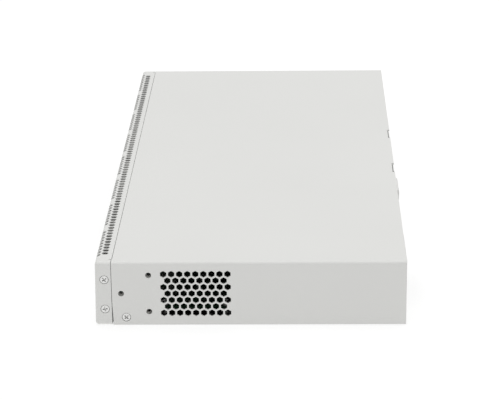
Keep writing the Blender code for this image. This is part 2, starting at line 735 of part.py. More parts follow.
def controls():
    """The reset button, the switch behind it, and the light pipe of the status lights."""
    flange, stem = 2.6 * MM, 1.2 * MM
    face, length = FRONT + 0.5 * MM, 8.5 * MM
    ledge, flange_end = -1.2 * MM, -2.2 * MM
    profile = [
        (0.0, 0.0),
        (RESET_RADIUS, 0.0),
        (RESET_RADIUS, ledge),
        (flange, ledge),
        (flange, flange_end),
        (stem, flange_end),
        (stem, -length),
        (0.0, -length),
    ]
    matrix = Matrix.Translation((CONTROLS_X, face, RESET_Z)) @ OUT_OF_FRONT
    turned("reset_button", profile, BLACK_PLASTIC, matrix, steps=12)
    half, behind, deep = 3.5 * MM, 1.8 * MM, 4.4 * MM
    switch_face = face + length + behind
    block(
        "reset_switch",
        (CONTROLS_X - half, switch_face, ON_BOARD),
        (CONTROLS_X + half, switch_face + deep, RESET_Z + half),
        BLACK_PLASTIC,
    )

    half, start, web_start, web_end = 1.3 * MM, FRONT + 0.2 * MM, FRONT + 5.0 * MM, FRONT + 8.0 * MM
    margin = 2.0 * MM
    web = boxes("light_pipe", [(
        (CONTROLS_X - half, web_start, LIGHT_Z[0] - margin),
        (CONTROLS_X + half, web_end, LIGHT_Z[-1] + margin),
    )], PARTS, LIGHT_PLASTIC)
    bm = bmesh.new()
    length = web_start + MM - start
    for z in LIGHT_Z:
        add_round(bm, (CONTROLS_X, start + length / 2, z), OUT_OF_BACK, LIGHT_RADIUS, length)
    boolean(web, place("light_posts", bm, CUTTERS), "UNION")


def on_board_block(name, middle, half_x, half_y, height, surface, bevel=0.0):
    """A box that stands on a board; middle is the middle of its foot."""
    x, y, z = middle
    low, high = (x - half_x, y - half_y, z), (x + half_x, y + half_y, z + height)
    return block(name, low, high, surface, bevel)


def chips():
    chip_x, chip_y, half, thick = -20.0 * MM, FRONT + 58.0 * MM, 13.0 * MM, 1.8 * MM
    on_board_block("switch_chip", (chip_x, chip_y, ON_BOARD), half, half, thick, CHIP_EPOXY)
    half, thin = 8.0 * MM, 1.4 * MM
    for name, x in (("phy_chip_left", -85.0 * MM), ("phy_chip_right", 55.0 * MM)):
        on_board_block(name, (x, chip_y, ON_BOARD), half, half, thin, CHIP_EPOXY)

    half_x, half_y, base, tall = 21.0 * MM, 17.0 * MM, 2.0 * MM, 14.0 * MM
    low = ON_BOARD + thick + GAP
    sink = on_board_block("switch_heatsink", (chip_x, chip_y, low), half_x, half_y, tall, SINK_ALUMINIUM)
    fins, fin = 9, 1.2 * MM
    step = (2 * half_x - fin) / (fins - 1)
    gaps = []
    for number in range(fins - 1):
        x = chip_x - half_x + fin + number * step
        gaps.append((
            (x, chip_y - half_y - PAST, low + base),
            (x + step - fin, chip_y + half_y + PAST, low + tall + PAST),
        ))
    boolean(sink, boxes("sink_gaps", gaps))


def psu_board():
    """The power supply's board on its four supports, over a sheet of insulation."""
    inset, around = 5.0 * MM, 4.0 * MM
    radius, thick = 2.5 * MM, 0.5 * MM
    corners = [
        (x, y)
        for x in (PSU_LEFT + inset, PSU_RIGHT - inset)
        for y in (PSU_FRONT + inset, PSU_BACK - inset)
    ]
    block("psu_board", (PSU_LEFT, PSU_FRONT, PSU_LOW), (PSU_RIGHT, PSU_BACK, PSU_TOP), BOARD_LACQUER)
    sheet = block(
        "psu_insulator",
        (PSU_LEFT - around, PSU_FRONT - around, INSIDE_TRAY),
        (PSU_RIGHT + around, PSU_BACK + around, INSIDE_TRAY + thick),
        INSULATOR,
    )
    bm = bmesh.new()
    for x, y in corners:
        add_round(bm, (x, y, INSIDE_TRAY), UPRIGHT, radius + GAP)
    boolean(sheet, place("insulator_holes", bm, CUTTERS))
    tall = PSU_LOW - GAP - INSIDE_TRAY
    post = [(0.0, tall), (radius, tall), (radius, 0.0), (0.0, 0.0)]
    for number, (x, y) in enumerate(corners, 1):
        matrix = Matrix.Translation((x, y, INSIDE_TRAY))
        turned(f"psu_support_{number}", post, NYLON, matrix, steps=8)


def transformer():
    x, y = 82.0 * MM, FRONT + 136.0 * MM
    core_x, core_y, core_height = 16.0 * MM, 7.0 * MM, 26.0 * MM
    wound_x, wound_y, wound_low, wound_high = 11.0 * MM, 13.0 * MM, 3.0 * MM, 22.0 * MM
    foot = (x, y, ON_PSU)
    core = on_board_block("power_transformer", foot, core_x, core_y, core_height, WINDING_TAPE, 0.8 * MM)
    winding = boxes("transformer_winding", [(
        (x - wound_x, y - wound_y, ON_PSU + wound_low),
        (x + wound_x, y + wound_y, ON_PSU + wound_high),
    )])
    soft = winding.modifiers.new("edges", "BEVEL")
    soft.width = 2.5 * MM
    soft.segments = 2
    boolean(core, winding, "UNION")


def capacitor_and_choke():
    """The supply's large round parts, both near its right-hand edge."""
    x, capacitor_y, choke_y = 118.0 * MM, FRONT + 122.0 * MM, FRONT + 157.0 * MM
    radius, tall, edge = 9.0 * MM, 28.0 * MM, 0.8 * MM
    can = [
        (0.0, tall),
        (radius - edge, tall),
        (radius, tall - edge),
        (radius, edge),
        (radius - edge, 0.0),
        (0.0, 0.0),
    ]
    turned("bulk_capacitor", can, CAP_SLEEVE, Matrix.Translation((x, capacitor_y, ON_PSU)), steps=16)

    ring_radius, tube, sides = 8.0 * MM, 4.0 * MM, 8
    angles = [-2 * math.pi * n / sides for n in range(sides)]
    section = [(ring_radius + tube * math.cos(a), tube * math.sin(a)) for a in angles]
    matrix = Matrix.Translation((x, choke_y, ON_PSU + ring_radius + tube)) @ OUT_OF_FRONT
    turned("line_choke", section, FERRITE, matrix, steps=14, ring=True)


def power_supply():
    psu_board()
    transformer()
    capacitor_and_choke()
    foot = (70.0 * MM, FRONT + 117.0 * MM, ON_PSU)
    on_board_block("psu_heatsink", foot, 26.0 * MM, 1.2 * MM, 24.0 * MM, SINK_ALUMINIUM, 0.4 * MM)
    foot = (HEADER_X, HEADER_Y, ON_BOARD)
    on_board_block("power_header", foot, 9.0 * MM, 3.5 * MM, HEADER_HEIGHT, NYLON, 0.4 * MM)


def mains_inlet():
    flange_x, flange_z = INLET_FLANGE[0] / 2, INLET_FLANGE[1] / 2
    inlet = block(
        "ac_inlet",
        (INLET_X - flange_x, BACK, INLET_Z - flange_z),
        (INLET_X + flange_x, BACK + FLANGE_THICK, INLET_Z + flange_z),
        BLACK_PLASTIC,
        0.5 * MM,
    )
    body_x, body_z = INLET_BODY[0] / 2, INLET_BODY[1] / 2
    boolean(inlet, boxes("inlet_body", [(
        (INLET_X - body_x, BACK - INLET_DEEP, INLET_Z - body_z),
        (INLET_X + body_x, BACK + FLANGE_THICK / 2, INLET_Z + body_z),
    )]), "UNION")

    # The plug's room has two corners cut off, on the earth pin's side.
    wide, tall, corner = INLET_CAVITY[0] / 2, INLET_CAVITY[1] / 2, 4.5 * MM
    outline = [(-wide, -tall), (wide, -tall), (wide, tall - corner), (wide - corner, tall)]
    outline += [(-wide + corner, tall), (-wide, tall - corner)]
    floor = BACK - INLET_DEEP + INLET_FLOOR
    bm = bmesh.new()
    face = bm.faces.new([bm.verts.new((INLET_X + x, floor, INLET_Z + z)) for x, z in outline])
    top = bmesh.ops.extrude_face_region(bm, geom=[face])["geom"]
    moved = [v for v in top if isinstance(v, bmesh.types.BMVert)]
    bmesh.ops.translate(bm, verts=moved, vec=(0, BACK + PAST - floor, 0))
    bmesh.ops.recalc_face_normals(bm, faces=bm.faces)
    boolean(inlet, place("inlet_cavity", bm, CUTTERS))

    for name, x in INLET_SCREW_X.items():
        seat = (x, BACK + FLANGE_THICK, INLET_Z)
        countersink(inlet, f"inlet_countersink_{name}", seat, OUT_OF_BACK)
        head = (x, BACK + FLANGE_THICK - HEAD_SUNK, INLET_Z)
        countersunk_screw(f"inlet_screw_{name}", head, OUT_OF_BACK, 0.4)
    half_x, half_z = PIN_WIDTH / 2, PIN_HEIGHT / 2
    boolean(inlet, boxes("inlet_pin_holes", [
        (
            (INLET_X + x - half_x - GAP, floor - 2 * PAST, INLET_Z + z - half_z - GAP),
            (INLET_X + x + half_x + GAP, floor + MM, INLET_Z + z + half_z + GAP),
        )
        for x, z in PINS.values()
    ]))
    for name, (x, z) in PINS.items():
        block(
            f"inlet_pin_{name}",
            (INLET_X + x - half_x, BACK - INLET_DEEP - PIN_BEHIND, INLET_Z + z - half_z),
            (INLET_X + x + half_x, BACK - FLANGE_THICK, INLET_Z + z + half_z),
            BLADE_METAL,
            0.4 * MM,
        )


def earth_screw():
    head, edge, washer, washer_thick = 3.6 * MM, 0.7 * MM, 4.6 * MM, 0.6 * MM
    profile = [
        (0.0, REAR_REACH),
        (head - edge, REAR_REACH),
        (head, REAR_REACH - edge),
        (head, washer_thick),
        (washer, washer_thick),
        (washer, 0.0),
        (EARTH_SHANK, 0.0),
        (EARTH_SHANK, -SCREW_LENGTH),
        (0.0, -SCREW_LENGTH),
    ]
    matrix = Matrix.Translation((EARTH_X, BACK, EARTH_Z)) @ OUT_OF_BACK
    screw = turned("earth_screw", profile, ZINC_STEEL, matrix, steps=16)
    on_head = matrix @ Matrix.Translation((0, 0, REAR_REACH))
    boolean(screw, cross_recess("earth_screw_cross", on_head, 2.2 * MM, 1.0 * MM, 1.3 * MM))


def wiring():
    """The wires' routes, by hand; each starts a little behind its pin, or over its header."""
    start = BACK - INLET_DEEP - PIN_BEHIND - 0.4 * MM
    landing_x, landing = PSU_RIGHT - 5.0 * MM, PSU_TOP + 0.5 * MM
    thin, thick = 0.9 * MM, 1.7 * MM
    ends = {name: (INLET_X + x, INLET_Z + z) for name, (x, z) in PINS.items()}
    x, z = ends["line"]
    wire("line_wire", [
        (x, start, z),
        (x, start - 6 * MM, z),
        (x - 7 * MM, start - 11 * MM, z + 3 * MM),
        (landing_x, start - 12 * MM, z),
        (landing_x, start - 12 * MM, landing),
    ], thin, WIRE_BROWN)
    x, z = ends["neutral"]
    wire("neutral_wire", [
        (x, start, z),
        (x, start - 9 * MM, z),
        (x - 9 * MM, start - 20 * MM, z + 3 * MM),
        (landing_x + 5 * MM, start - 24 * MM, z + 2 * MM),
        (landing_x, start - 24 * MM, landing + 4 * MM),
        (landing_x, start - 24 * MM, landing),
    ], thin, WIRE_BLUE)
    x, z = ends["earth"]
    wire("earth_wire", [
        (x, start, z),
        (x + 1 * MM, start - 6 * MM, z + 4 * MM),
        (x + 16 * MM, start - 6 * MM, z + 6 * MM),
        (EARTH_X - 4 * MM, BACK - 20 * MM, EARTH_Z + 6 * MM),
        (EARTH_X, BACK - 10 * MM, EARTH_Z),
        (EARTH_X, BACK - SCREW_LENGTH - 0.6 * MM, EARTH_Z),
    ], thin, WIRE_EARTH)
    over_header = ON_BOARD + HEADER_HEIGHT
    wire("output_cable", [
        (HEADER_X, HEADER_Y, over_header + 0.4 * MM),
        (HEADER_X, HEADER_Y + 1 * MM, over_header + 4.5 * MM),
        (HEADER_X + 3 * MM, HEADER_Y + 14 * MM, over_header + 7.5 * MM),
        (PSU_LEFT + 7 * MM, PSU_FRONT + 18 * MM, PSU_TOP + 9 * MM),
        (PSU_LEFT + 7 * MM, PSU_FRONT + 22 * MM, PSU_TOP + 0.6 * MM),
    ], thick, WIRE_BLACK)


base_tray()
top_cover()
front_bezel()
case_screws()
clinch_nuts()
main_board()
for block_name, block_middle in BLOCK_X.items():
    port_block(block_name, block_middle)
console_jack()
sfp_cage()
controls()
chips()
power_supply()
mains_inlet()
earth_screw()
wiring()
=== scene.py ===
"""Looks of the rackmount network switch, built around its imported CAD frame.

The bezel, the cover, the screws, the rack-ear bushes and the ports are rebuilt with fine geometry in
the places of their CAD nodes. Every other node keeps its shape and gets a bevel and a material.
"""

import json
import math
import random

import bmesh
import bpy
from mathutils import Matrix, Vector


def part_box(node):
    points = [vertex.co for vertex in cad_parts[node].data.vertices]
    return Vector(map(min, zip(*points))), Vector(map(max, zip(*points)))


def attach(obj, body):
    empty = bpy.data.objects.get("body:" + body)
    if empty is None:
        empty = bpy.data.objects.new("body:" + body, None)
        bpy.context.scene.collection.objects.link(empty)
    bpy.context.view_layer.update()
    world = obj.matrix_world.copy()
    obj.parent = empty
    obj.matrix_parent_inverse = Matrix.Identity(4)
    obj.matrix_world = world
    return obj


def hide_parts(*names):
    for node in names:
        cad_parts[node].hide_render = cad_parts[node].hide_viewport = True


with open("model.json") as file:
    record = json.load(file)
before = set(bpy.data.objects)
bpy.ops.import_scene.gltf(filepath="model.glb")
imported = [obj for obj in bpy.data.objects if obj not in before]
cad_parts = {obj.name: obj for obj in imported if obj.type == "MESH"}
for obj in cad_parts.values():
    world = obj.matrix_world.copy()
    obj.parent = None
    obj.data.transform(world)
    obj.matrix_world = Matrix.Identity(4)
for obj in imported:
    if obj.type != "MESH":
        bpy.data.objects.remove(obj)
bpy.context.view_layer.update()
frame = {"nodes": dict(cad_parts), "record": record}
NODES = frame["nodes"]
MM = 0.001
BODY = "chassis"

BEZEL_LOW, BEZEL_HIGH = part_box("front_bezel")
COVER_LOW, COVER_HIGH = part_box("top_cover")
SIDE = BEZEL_HIGH[0]
FRONT = BEZEL_LOW[1]
HEIGHT = BEZEL_HIGH[2]
BEZEL_END = BEZEL_HIGH[1]
COVER_START = COVER_LOW[1]
TAB_OUT = 1.2 * MM
BACK = COVER_HIGH[1] - TAB_OUT
SHEET = 1.0 * MM
BEZEL_SHEET = 0.8 * MM
PAST = 3.0 * MM  # how far a cutter runs past the sheet that it cuts

# Bends
BEND = 2.3 * MM
BEND_STEPS = 8
EDGE_ROUND = 0.15 * MM

# Hexagonal holes
HEXAGON_ACROSS = 4.1 * MM
HEXAGON_CORNER = 0.25 * MM
VENT_START = FRONT + 45.0 * MM
VENT_TOP = 35.6 * MM
VENT_PITCH = 5.2 * MM
VENT_ROWS, VENT_COLUMNS = 7, 9
BEZEL_PITCH = 5.22 * MM
INNER_HOLES = 79
INNER_ROW_Y = FRONT + 6.3 * MM
OUTER_GROUPS = (9, 8, 8, 8, 8, 8, 8, 9)
GROUP_STEP = 3  # pitches between the last hole of a group and the first of the next
OUTER_TILT = math.radians(26)  # how far round the front bend the outer row lies

# Flanges and round holes
RELIEF_X = SIDE - 5.5 * MM
SIDE_FLANGE_SHORTER = 0.35 * MM
LEAN = 0.8 * MM  # how far the front face leans back from its foot to its top
TONGUE_X = (-45.0 * MM, 34.5 * MM)
EAR_HOLE = 1.95 * MM  # radius of a rack-ear hole
TAB_SCREW_HOLE = 1.55 * MM  # radius

# Ports
PORT_PITCH = 13.97 * MM
PORT_COLUMNS = 6
PORT_WIDTH, PORT_HEIGHT, PORT_DEPTH = 11.9 * MM, 7.2 * MM, 14.5 * MM
LATCH_STEPS = ((6.4 * MM, 1.6 * MM), (3.6 * MM, 2.8 * MM))  # width and height of each step
LATCH_HEIGHT = LATCH_STEPS[-1][1]
JACK_WALL = 0.9 * MM
SHIELD_SHEET = 0.3 * MM
CONTACTS, CONTACT_PITCH = 8, 1.02 * MM
SFP_WALL, SFP_WIDTH, SFP_HEIGHT = 0.7 * MM, 14.3 * MM, 9.6 * MM
SFP_BETWEEN_ROWS = 3.0 * MM

# Camera, as fitted to the case's corners
CAMERA_PLACE = (1.43908, 0.03166, 0.52809)
CAMERA_YAW, CAMERA_PITCH, CAMERA_ROLL = 1.528, 19.906, -0.7425
CAMERA_LENS = 146.64

# Studio
SKY_STRENGTH = 0.55
LAMP_POWER = 42.0
FLOOR_GLOW = 0.74
FLOOR_DROP = 0.0002  # keeps the floor clear of the case's underside
FLOOR_HALF = 6.0
LAMP_SIZE = 2.6
LAMP_PLACE = (-0.2, 0.1, 2.6)
SENSOR_WIDTH = 36.0

SIGN = {"right": 1, "left": -1}
OUT_OF_FRONT = Matrix.Rotation(math.pi / 2, 4, "X")
OUT_OF_BACK = Matrix.Rotation(-math.pi / 2, 4, "X")
UPRIGHT = Matrix.Identity(4)


# ---------------------------------------------------------------- materials


class Surface:
    """A material with a Principled shader, and short calls for the nodes that feed it."""

    def __init__(self, name, colour, roughness, metallic=0.0, **sockets):
        self.made = bpy.data.materials.new(name)
        self.made.use_nodes = True
        self.tree = self.made.node_tree
        self.shader = self.tree.nodes["Principled BSDF"]
        self.colour = colour
        self.roughness = roughness
        self.set("Base Color", (*colour, 1.0))
        self.set("Roughness", roughness)
        self.set("Metallic", metallic)
        for socket, value in sockets.items():
            self.set(socket.replace("_", " "), value)
        self.where = self.tree.nodes.new("ShaderNodeTexCoord").outputs["Object"]

    def set(self, socket, value):
        self.shader.inputs[socket].default_value = value

    def link(self, start, end):
        self.tree.links.new(start, end)

    def noise(self, scale, detail=3.0, stretch=None):
        node = self.tree.nodes.new("ShaderNodeTexNoise")
        node.inputs["Scale"].default_value = scale
        node.inputs["Detail"].default_value = detail
        start = self.where
        if stretch:
            mapping = self.tree.nodes.new("ShaderNodeMapping")
            mapping.inputs["Scale"].default_value = stretch
            self.link(start, mapping.inputs["Vector"])
            start = mapping.outputs["Vector"]
        self.link(start, node.inputs["Vector"])
        return node.outputs["Fac"]

    def ramp(self, factor, low, high, start=0.3, end=0.7):
        node = self.tree.nodes.new("ShaderNodeValToRGB")
        stops = node.color_ramp.elements
        stops[0].position, stops[1].position = start, end
        stops[0].color, stops[1].color = (*low, 1.0), (*high, 1.0)
        self.link(factor, node.inputs["Fac"])
        return node.outputs["Color"]

    def vary_colour(self, factor, amount):
        low = tuple(c * (1 - amount) for c in self.colour)
        high = tuple(min(1.0, c * (1 + amount)) for c in self.colour)
        self.link(self.ramp(factor, low, high), self.shader.inputs["Base Color"])

    def vary_roughness(self, factor, amount):
        node = self.tree.nodes.new("ShaderNodeMapRange")
        node.inputs["To Min"].default_value = self.roughness - amount
        node.inputs["To Max"].default_value = self.roughness + amount
        self.link(factor, node.inputs["Value"])
        self.link(node.outputs["Result"], self.shader.inputs["Roughness"])

    def math(self, operation, first, second):
        node = self.tree.nodes.new("ShaderNodeMath")
        node.operation = operation
        for socket, value in zip(node.inputs, (first, second)):
            if isinstance(value, float):
                socket.default_value = value
            else:
                self.link(value, socket)
        return node.outputs["Value"]

    def bump(self, height, strength, distance):
        node = self.tree.nodes.new("ShaderNodeBump")
        node.inputs["Strength"].default_value = strength
        node.inputs["Distance"].default_value = distance
        self.link(height, node.inputs["Height"])
        self.link(node.outputs["Normal"], self.shader.inputs["Normal"])


def powder_coat(name, colour):
    """Fine orange-peel powder coat with a very slight drift of tone over the sheet."""
    coat = Surface(name, colour, 0.5, Specular_IOR_Level=0.35)
    coat.vary_colour(coat.noise(9.0, 2.0), 0.008)
    grain = coat.noise(1700.0, 2.0)
    coat.vary_roughness(coat.noise(500.0, 2.0), 0.05)
    coat.bump(grain, 0.25, 0.00006)
    return coat.made


def metal(name, colour, roughness, stretch=(1.0, 1.0, 1.0)):
    made = Surface(name, colour, roughness, 1.0)
    grain = made.noise(420.0, 4.0, stretch)
    made.vary_colour(grain, 0.06)
    made.vary_roughness(made.noise(900.0, 3.0, stretch), 0.07)
    made.bump(grain, 0.15, 0.00003)
    return made.made


def moulded(name, colour, roughness, grain=1400.0, **sockets):
    plastic = Surface(name, colour, roughness, **sockets)
    plastic.vary_colour(plastic.noise(60.0, 2.0), 0.08)
    plastic.vary_roughness(plastic.noise(300.0, 2.0), 0.05)
    plastic.bump(plastic.noise(grain, 2.0), 0.2, 0.00004)
    return plastic.made


def circuit_lacquer():
    """Solder lacquer with the faint relief and lighter green of the tracks under it."""
    lacquer = Surface("board_lacquer", (0.006, 0.032, 0.014), 0.38, Coat_Weight=0.3)
    tracks = lacquer.tree.nodes.new("ShaderNodeTexBrick")
    tracks.inputs["Scale"].default_value = 260.0
    tracks.inputs["Mortar Size"].default_value = 0.03
    tracks.inputs["Color1"].default_value = (0.005, 0.028, 0.012, 1.0)
    tracks.inputs["Color2"].default_value = (0.007, 0.036, 0.017, 1.0)
    tracks.inputs["Mortar"].default_value = (0.018, 0.07, 0.032, 1.0)
    lacquer.link(lacquer.where, tracks.inputs["Vector"])
    lacquer.link(tracks.outputs["Color"], lacquer.shader.inputs["Base Color"])
    lacquer.bump(tracks.outputs["Fac"], 0.3, 0.00005)
    return lacquer.made


def taped_winding():
    tape = Surface("winding_tape", (0.78, 0.62, 0.08), 0.35)
    layers = tape.noise(300.0, 2.0, (0.1, 0.1, 3.0))
    tape.vary_colour(layers, 0.12)
    tape.bump(layers, 0.3, 0.0001)
    return tape.made


def striped_wire():
    """Green insulation with a yellow stripe."""
    wire = Surface("wire_green_yellow", (0.05, 0.32, 0.06), 0.45)
    wave = wire.tree.nodes.new("ShaderNodeTexWave")
    wave.inputs["Scale"].default_value = 180.0
    wave.bands_direction = "Z"
    wire.link(wire.where, wave.inputs["Vector"])
    stripes = wire.ramp(wave.outputs["Fac"], (0.05, 0.32, 0.06), (0.75, 0.62, 0.04), 0.45, 0.55)
    wire.link(stripes, wire.shader.inputs["Base Color"])
    return wire.made


def clear_plastic():
    clear = Surface("light_pipe_plastic", (0.85, 0.88, 0.9), 0.12, Transmission_Weight=0.7, IOR=1.49)
    clear.vary_roughness(clear.noise(400.0, 2.0), 0.04)
    clear.bump(clear.noise(900.0, 2.0), 0.1, 0.00003)
    return clear.made


def tray_sheet(paint, bare_and_shade):
    """Powder coat outside, below and behind; on the faces inside the case, dark unpainted metal, its
    darkness partly painted shade of the case's inside.
    """
    sheet = Surface("tray_sheet", paint, 0.5, Specular_IOR_Level=0.35)
    parts = sheet.tree.nodes.new("ShaderNodeSeparateXYZ")
    sheet.link(sheet.where, parts.inputs["Vector"])
    below = sheet.math("LESS_THAN", parts.outputs["Z"], 0.7 * SHEET)
    behind = sheet.math("GREATER_THAN", parts.outputs["Y"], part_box("base_tray")[1][1] - 0.7 * SHEET)
    painted = sheet.math("MAXIMUM", below, behind)
    # Inside faces take the dark metal colour: painted shade of the case's inside
    sheet.link(sheet.ramp(painted, bare_and_shade, paint, 0.4, 0.6), sheet.shader.inputs["Base Color"])
    sheet.link(sheet.math("SUBTRACT", 1.0, painted), sheet.shader.inputs["Metallic"])
    sheet.vary_roughness(sheet.noise(500.0, 2.0), 0.05)
    sheet.bump(sheet.noise(1700.0, 2.0), 0.25, 0.00006)
    return sheet.made


CASE_COLOUR = (0.745, 0.746, 0.728)
# Unpainted steel, made dark as painted shade for the inside of the case
BARE_AND_SHADE_COLOUR = (0.24, 0.24, 0.235)
MATERIALS = {
    "case_paint": powder_coat("case_paint", CASE_COLOUR),
    "nickel": metal("nickel", (0.74, 0.74, 0.73), 0.36),
    "zinc_steel": metal("zinc_steel", (0.72, 0.72, 0.70), 0.5),
    "board_lacquer": circuit_lacquer(),
    "shield_steel": metal("shield_steel", (0.66, 0.65, 0.62), 0.32, (1.0, 1.0, 14.0)),
    "black_plastic": moulded("black_plastic", (0.018, 0.018, 0.02), 0.45),
    "chip_epoxy": moulded("chip_epoxy", (0.022, 0.022, 0.025), 0.6, 2200.0),
    "sink_aluminium": metal("sink_aluminium", (0.74, 0.75, 0.76), 0.36, (1.0, 0.05, 1.0)),
    "winding_tape": taped_winding(),
    "capacitor_sleeve": moulded("capacitor_sleeve", (0.02, 0.03, 0.10), 0.3, 500.0),
    "ferrite": moulded("ferrite", (0.06, 0.24, 0.10), 0.42),
    "white_nylon": moulded("white_nylon", (0.78, 0.77, 0.72), 0.4),
    "insulator_sheet": moulded("insulator_sheet", (0.03, 0.03, 0.033), 0.25, 700.0),
    "light_pipe_plastic": clear_plastic(),
    "plated_brass": metal("plated_brass", (0.72, 0.66, 0.50), 0.28, (1.0, 0.1, 1.0)),
    "wire_brown": moulded("wire_brown", (0.12, 0.05, 0.025), 0.4),
    "wire_blue": moulded("wire_blue", (0.02, 0.09, 0.40), 0.4),
    "wire_green_yellow": striped_wire(),
    "wire_black": moulded("wire_black", (0.018, 0.018, 0.018), 0.45),
}
GOLD = metal("contact_gold", (0.92, 0.66, 0.24), 0.25)
LENS_GREEN = moulded("lens_green", (0.22, 0.48, 0.16), 0.25, Transmission_Weight=0.25)
LENS_AMBER = moulded("lens_amber", (0.70, 0.36, 0.06), 0.25, Transmission_Weight=0.25)
CERAMIC = moulded("chip_capacitor", (0.42, 0.30, 0.18), 0.5, 2500.0)
# Dark unpainted steel: its darkness is partly painted shade
BARE_AND_SHADE_STEEL = metal("bare_steel_painted_shade", BARE_AND_SHADE_COLOUR, 0.42)
SHEET_METAL = (MATERIALS["case_paint"], BARE_AND_SHADE_STEEL)  # powder-coated outside; dark unpainted metal inside, partly painted shade
TRAY_SHEET = tray_sheet(CASE_COLOUR, BARE_AND_SHADE_COLOUR)


# ---------------------------------------------------------------- geometry helpers


def add_box(bm, low, high):
    low, high = Vector(low), Vector(high)
    size = Matrix.Diagonal((*(high - low), 1.0))
    bmesh.ops.create_cube(bm, size=1.0, matrix=Matrix.Translation((low + high) / 2) @ size)


def add_round(bm, centre, turn, radius, length, sides=32, far_radius=None):
    bmesh.ops.create_cone(
        bm,
        cap_ends=True,
        segments=sides,
        radius1=radius,
        radius2=radius if far_radius is None else far_radius,
        depth=length,
        matrix=Matrix.Translation(centre) @ turn,
    )


def add_prism(bm, outline, matrix, depth):
    """The outline, in the matrix's own X and Y, as a prism that runs depth each way along its Z."""
    face = bm.faces.new([bm.verts.new(matrix @ Vector((x, y, -depth))) for x, y in outline])
    top = bmesh.ops.extrude_face_region(bm, geom=[face])["geom"]
    moved = [v for v in top if isinstance(v, bmesh.types.BMVert)]
    bmesh.ops.translate(bm, verts=moved, vec=matrix.to_3x3() @ Vector((0, 0, 2 * depth)))


def rounded_outline(half_x, half_y, radius, steps=4):
    """A rectangle with round corners, counter-clockwise about the origin."""
    points = []
    for quarter, (sx, sy) in enumerate(((1, 1), (-1, 1), (-1, -1), (1, -1))):
        cx, cy = sx * (half_x - radius), sy * (half_y - radius)
        for step in range(steps + 1):
            angle = (quarter + step / steps) * math.pi / 2
            points.append((cx + radius * math.cos(angle), cy + radius * math.sin(angle)))
    return points


def rounded_hexagon(across, radius, steps=2):
    """A hexagon with points up and down the local Y, its corners slightly rounded."""
    corner = (across / 2 - radius) / math.cos(math.pi / 6)
    points = []
    for number in range(6):
        middle = math.pi / 6 + number * math.pi / 3
        cx, cy = corner * math.cos(middle), corner * math.sin(middle)
        for step in range(steps + 1):
            angle = middle - math.pi / 6 + step / steps * math.pi / 3
            points.append((cx + radius * math.cos(angle), cy + radius * math.sin(angle)))
    return points


def new_mesh(name, bm, *surfaces, fix_normals=True):
    if fix_normals:
        bmesh.ops.recalc_face_normals(bm, faces=bm.faces)
    mesh = bpy.data.meshes.new(name)
    bm.to_mesh(mesh)
    bm.free()
    made = bpy.data.objects.new(name, mesh)
    bpy.context.scene.collection.objects.link(made)
    for surface in surfaces:
        mesh.materials.append(surface)
    return made


def apply_modifiers(obj):
    bpy.context.view_layer.update()
    graph = bpy.context.evaluated_depsgraph_get()
    mesh = bpy.data.meshes.new_from_object(obj.evaluated_get(graph))
    old = obj.data
    obj.modifiers.clear()
    obj.data = mesh
    mesh.name = obj.name
    if hasattr(old, "vertices") and old.users == 0:
        bpy.data.meshes.remove(old)


def bevel(obj, width, segments=2, angle=40.0):
    edge = obj.modifiers.new("edges", "BEVEL")
    edge.width = width
    edge.segments = segments
    edge.limit_method = "ANGLE"
    edge.angle_limit = math.radians(angle)
    edge.miter_outer = "MITER_ARC"


def thicken(obj, thickness):
    """Gives a skin its thickness, inwards; its second material, if any, goes on the inside."""
    shell = obj.modifiers.new("sheet", "SOLIDIFY")
    shell.thickness = thickness
    shell.offset = -1.0
    shell.use_even_offset = True
    shell.material_offset = 1


def cut(target, bm, operation="DIFFERENCE"):
    """Cuts the bmesh's shapes out of the target, or joins them to it, for good."""
    tool = new_mesh("tool", bm)
    joined = target.modifiers.new("cut", "BOOLEAN")
    joined.operation = operation
    joined.solver = "EXACT"
    joined.object = tool
    apply_modifiers(target)
    bpy.data.objects.remove(tool, do_unlink=True)


def smooth(obj, angle=35.0):
    """Rounds the shading of the bends and keeps the flat faces flat."""
    obj.data.shade_smooth()
    obj.data.set_sharp_from_angle(angle=math.radians(angle))
    flat = obj.modifiers.new("flat_faces", "WEIGHTED_NORMAL")
    flat.keep_sharp = True


def finish_piece(obj, slot, *nodes, body=BODY):
    if nodes:
        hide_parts(*nodes)
    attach(obj, body)


def turned_mesh(bm, profile, matrix, steps=40):
    """A turned shape: its profile, from the axis round to the axis again, spun about the matrix's Z."""
    rings = []
    for radius, z in profile:
        if radius < 1e-7:
            rings.append([bm.verts.new(matrix @ Vector((0, 0, z)))])
            continue
        rings.append([
            bm.verts.new(matrix @ Vector((radius * math.cos(a), radius * math.sin(a), z)))
            for a in [2 * math.pi * n / steps for n in range(steps)]
        ])
    for upper, lower in zip(rings, rings[1:]):
        for n in range(steps):
            m = (n + 1) % steps
            corners = [upper[n % len(upper)], lower[n % len(lower)]]
            if len(lower) > 1:
                corners.append(lower[m])
            if len(upper) > 1:
                corners.append(upper[m])
            bm.faces.new(corners)


def arc(cx, cz, radius, start, end, steps=5):
    """Points of an arc in a turned profile; angles in degrees."""
    return [
        (cx + radius * math.cos(math.radians(a)), cz + radius * math.sin(math.radians(a)))
        for a in [start + (end - start) * n / steps for n in range(steps + 1)]
    ]


def node_centre(node):
    low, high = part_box(node)
    return (Vector(low) + Vector(high)) / 2


# ---------------------------------------------------------------- case


def side_matrix(side, y, z, inset=0.0):
    """Local Z points out of that side, local Y points up."""
    turn = Matrix.Rotation(math.pi / 2 * SIGN[side], 4, "Z") @ OUT_OF_FRONT
    return Matrix.Translation((SIGN[side] * (SIDE - inset), y, z)) @ turn


def side_of(node):
    return "right" if node_centre(node).x > 0 else "left"


def outer_row_places():
    """Where the holes that wrap over the bezel's front bend lie along X, group by group."""
    numbers = []
    first = 0
    for count in OUTER_GROUPS:
        numbers += range(first, first + count)
        first += count - 1 + GROUP_STEP
    middle = numbers[-1] / 2
    return [(number - middle) * BEZEL_PITCH for number in numbers]


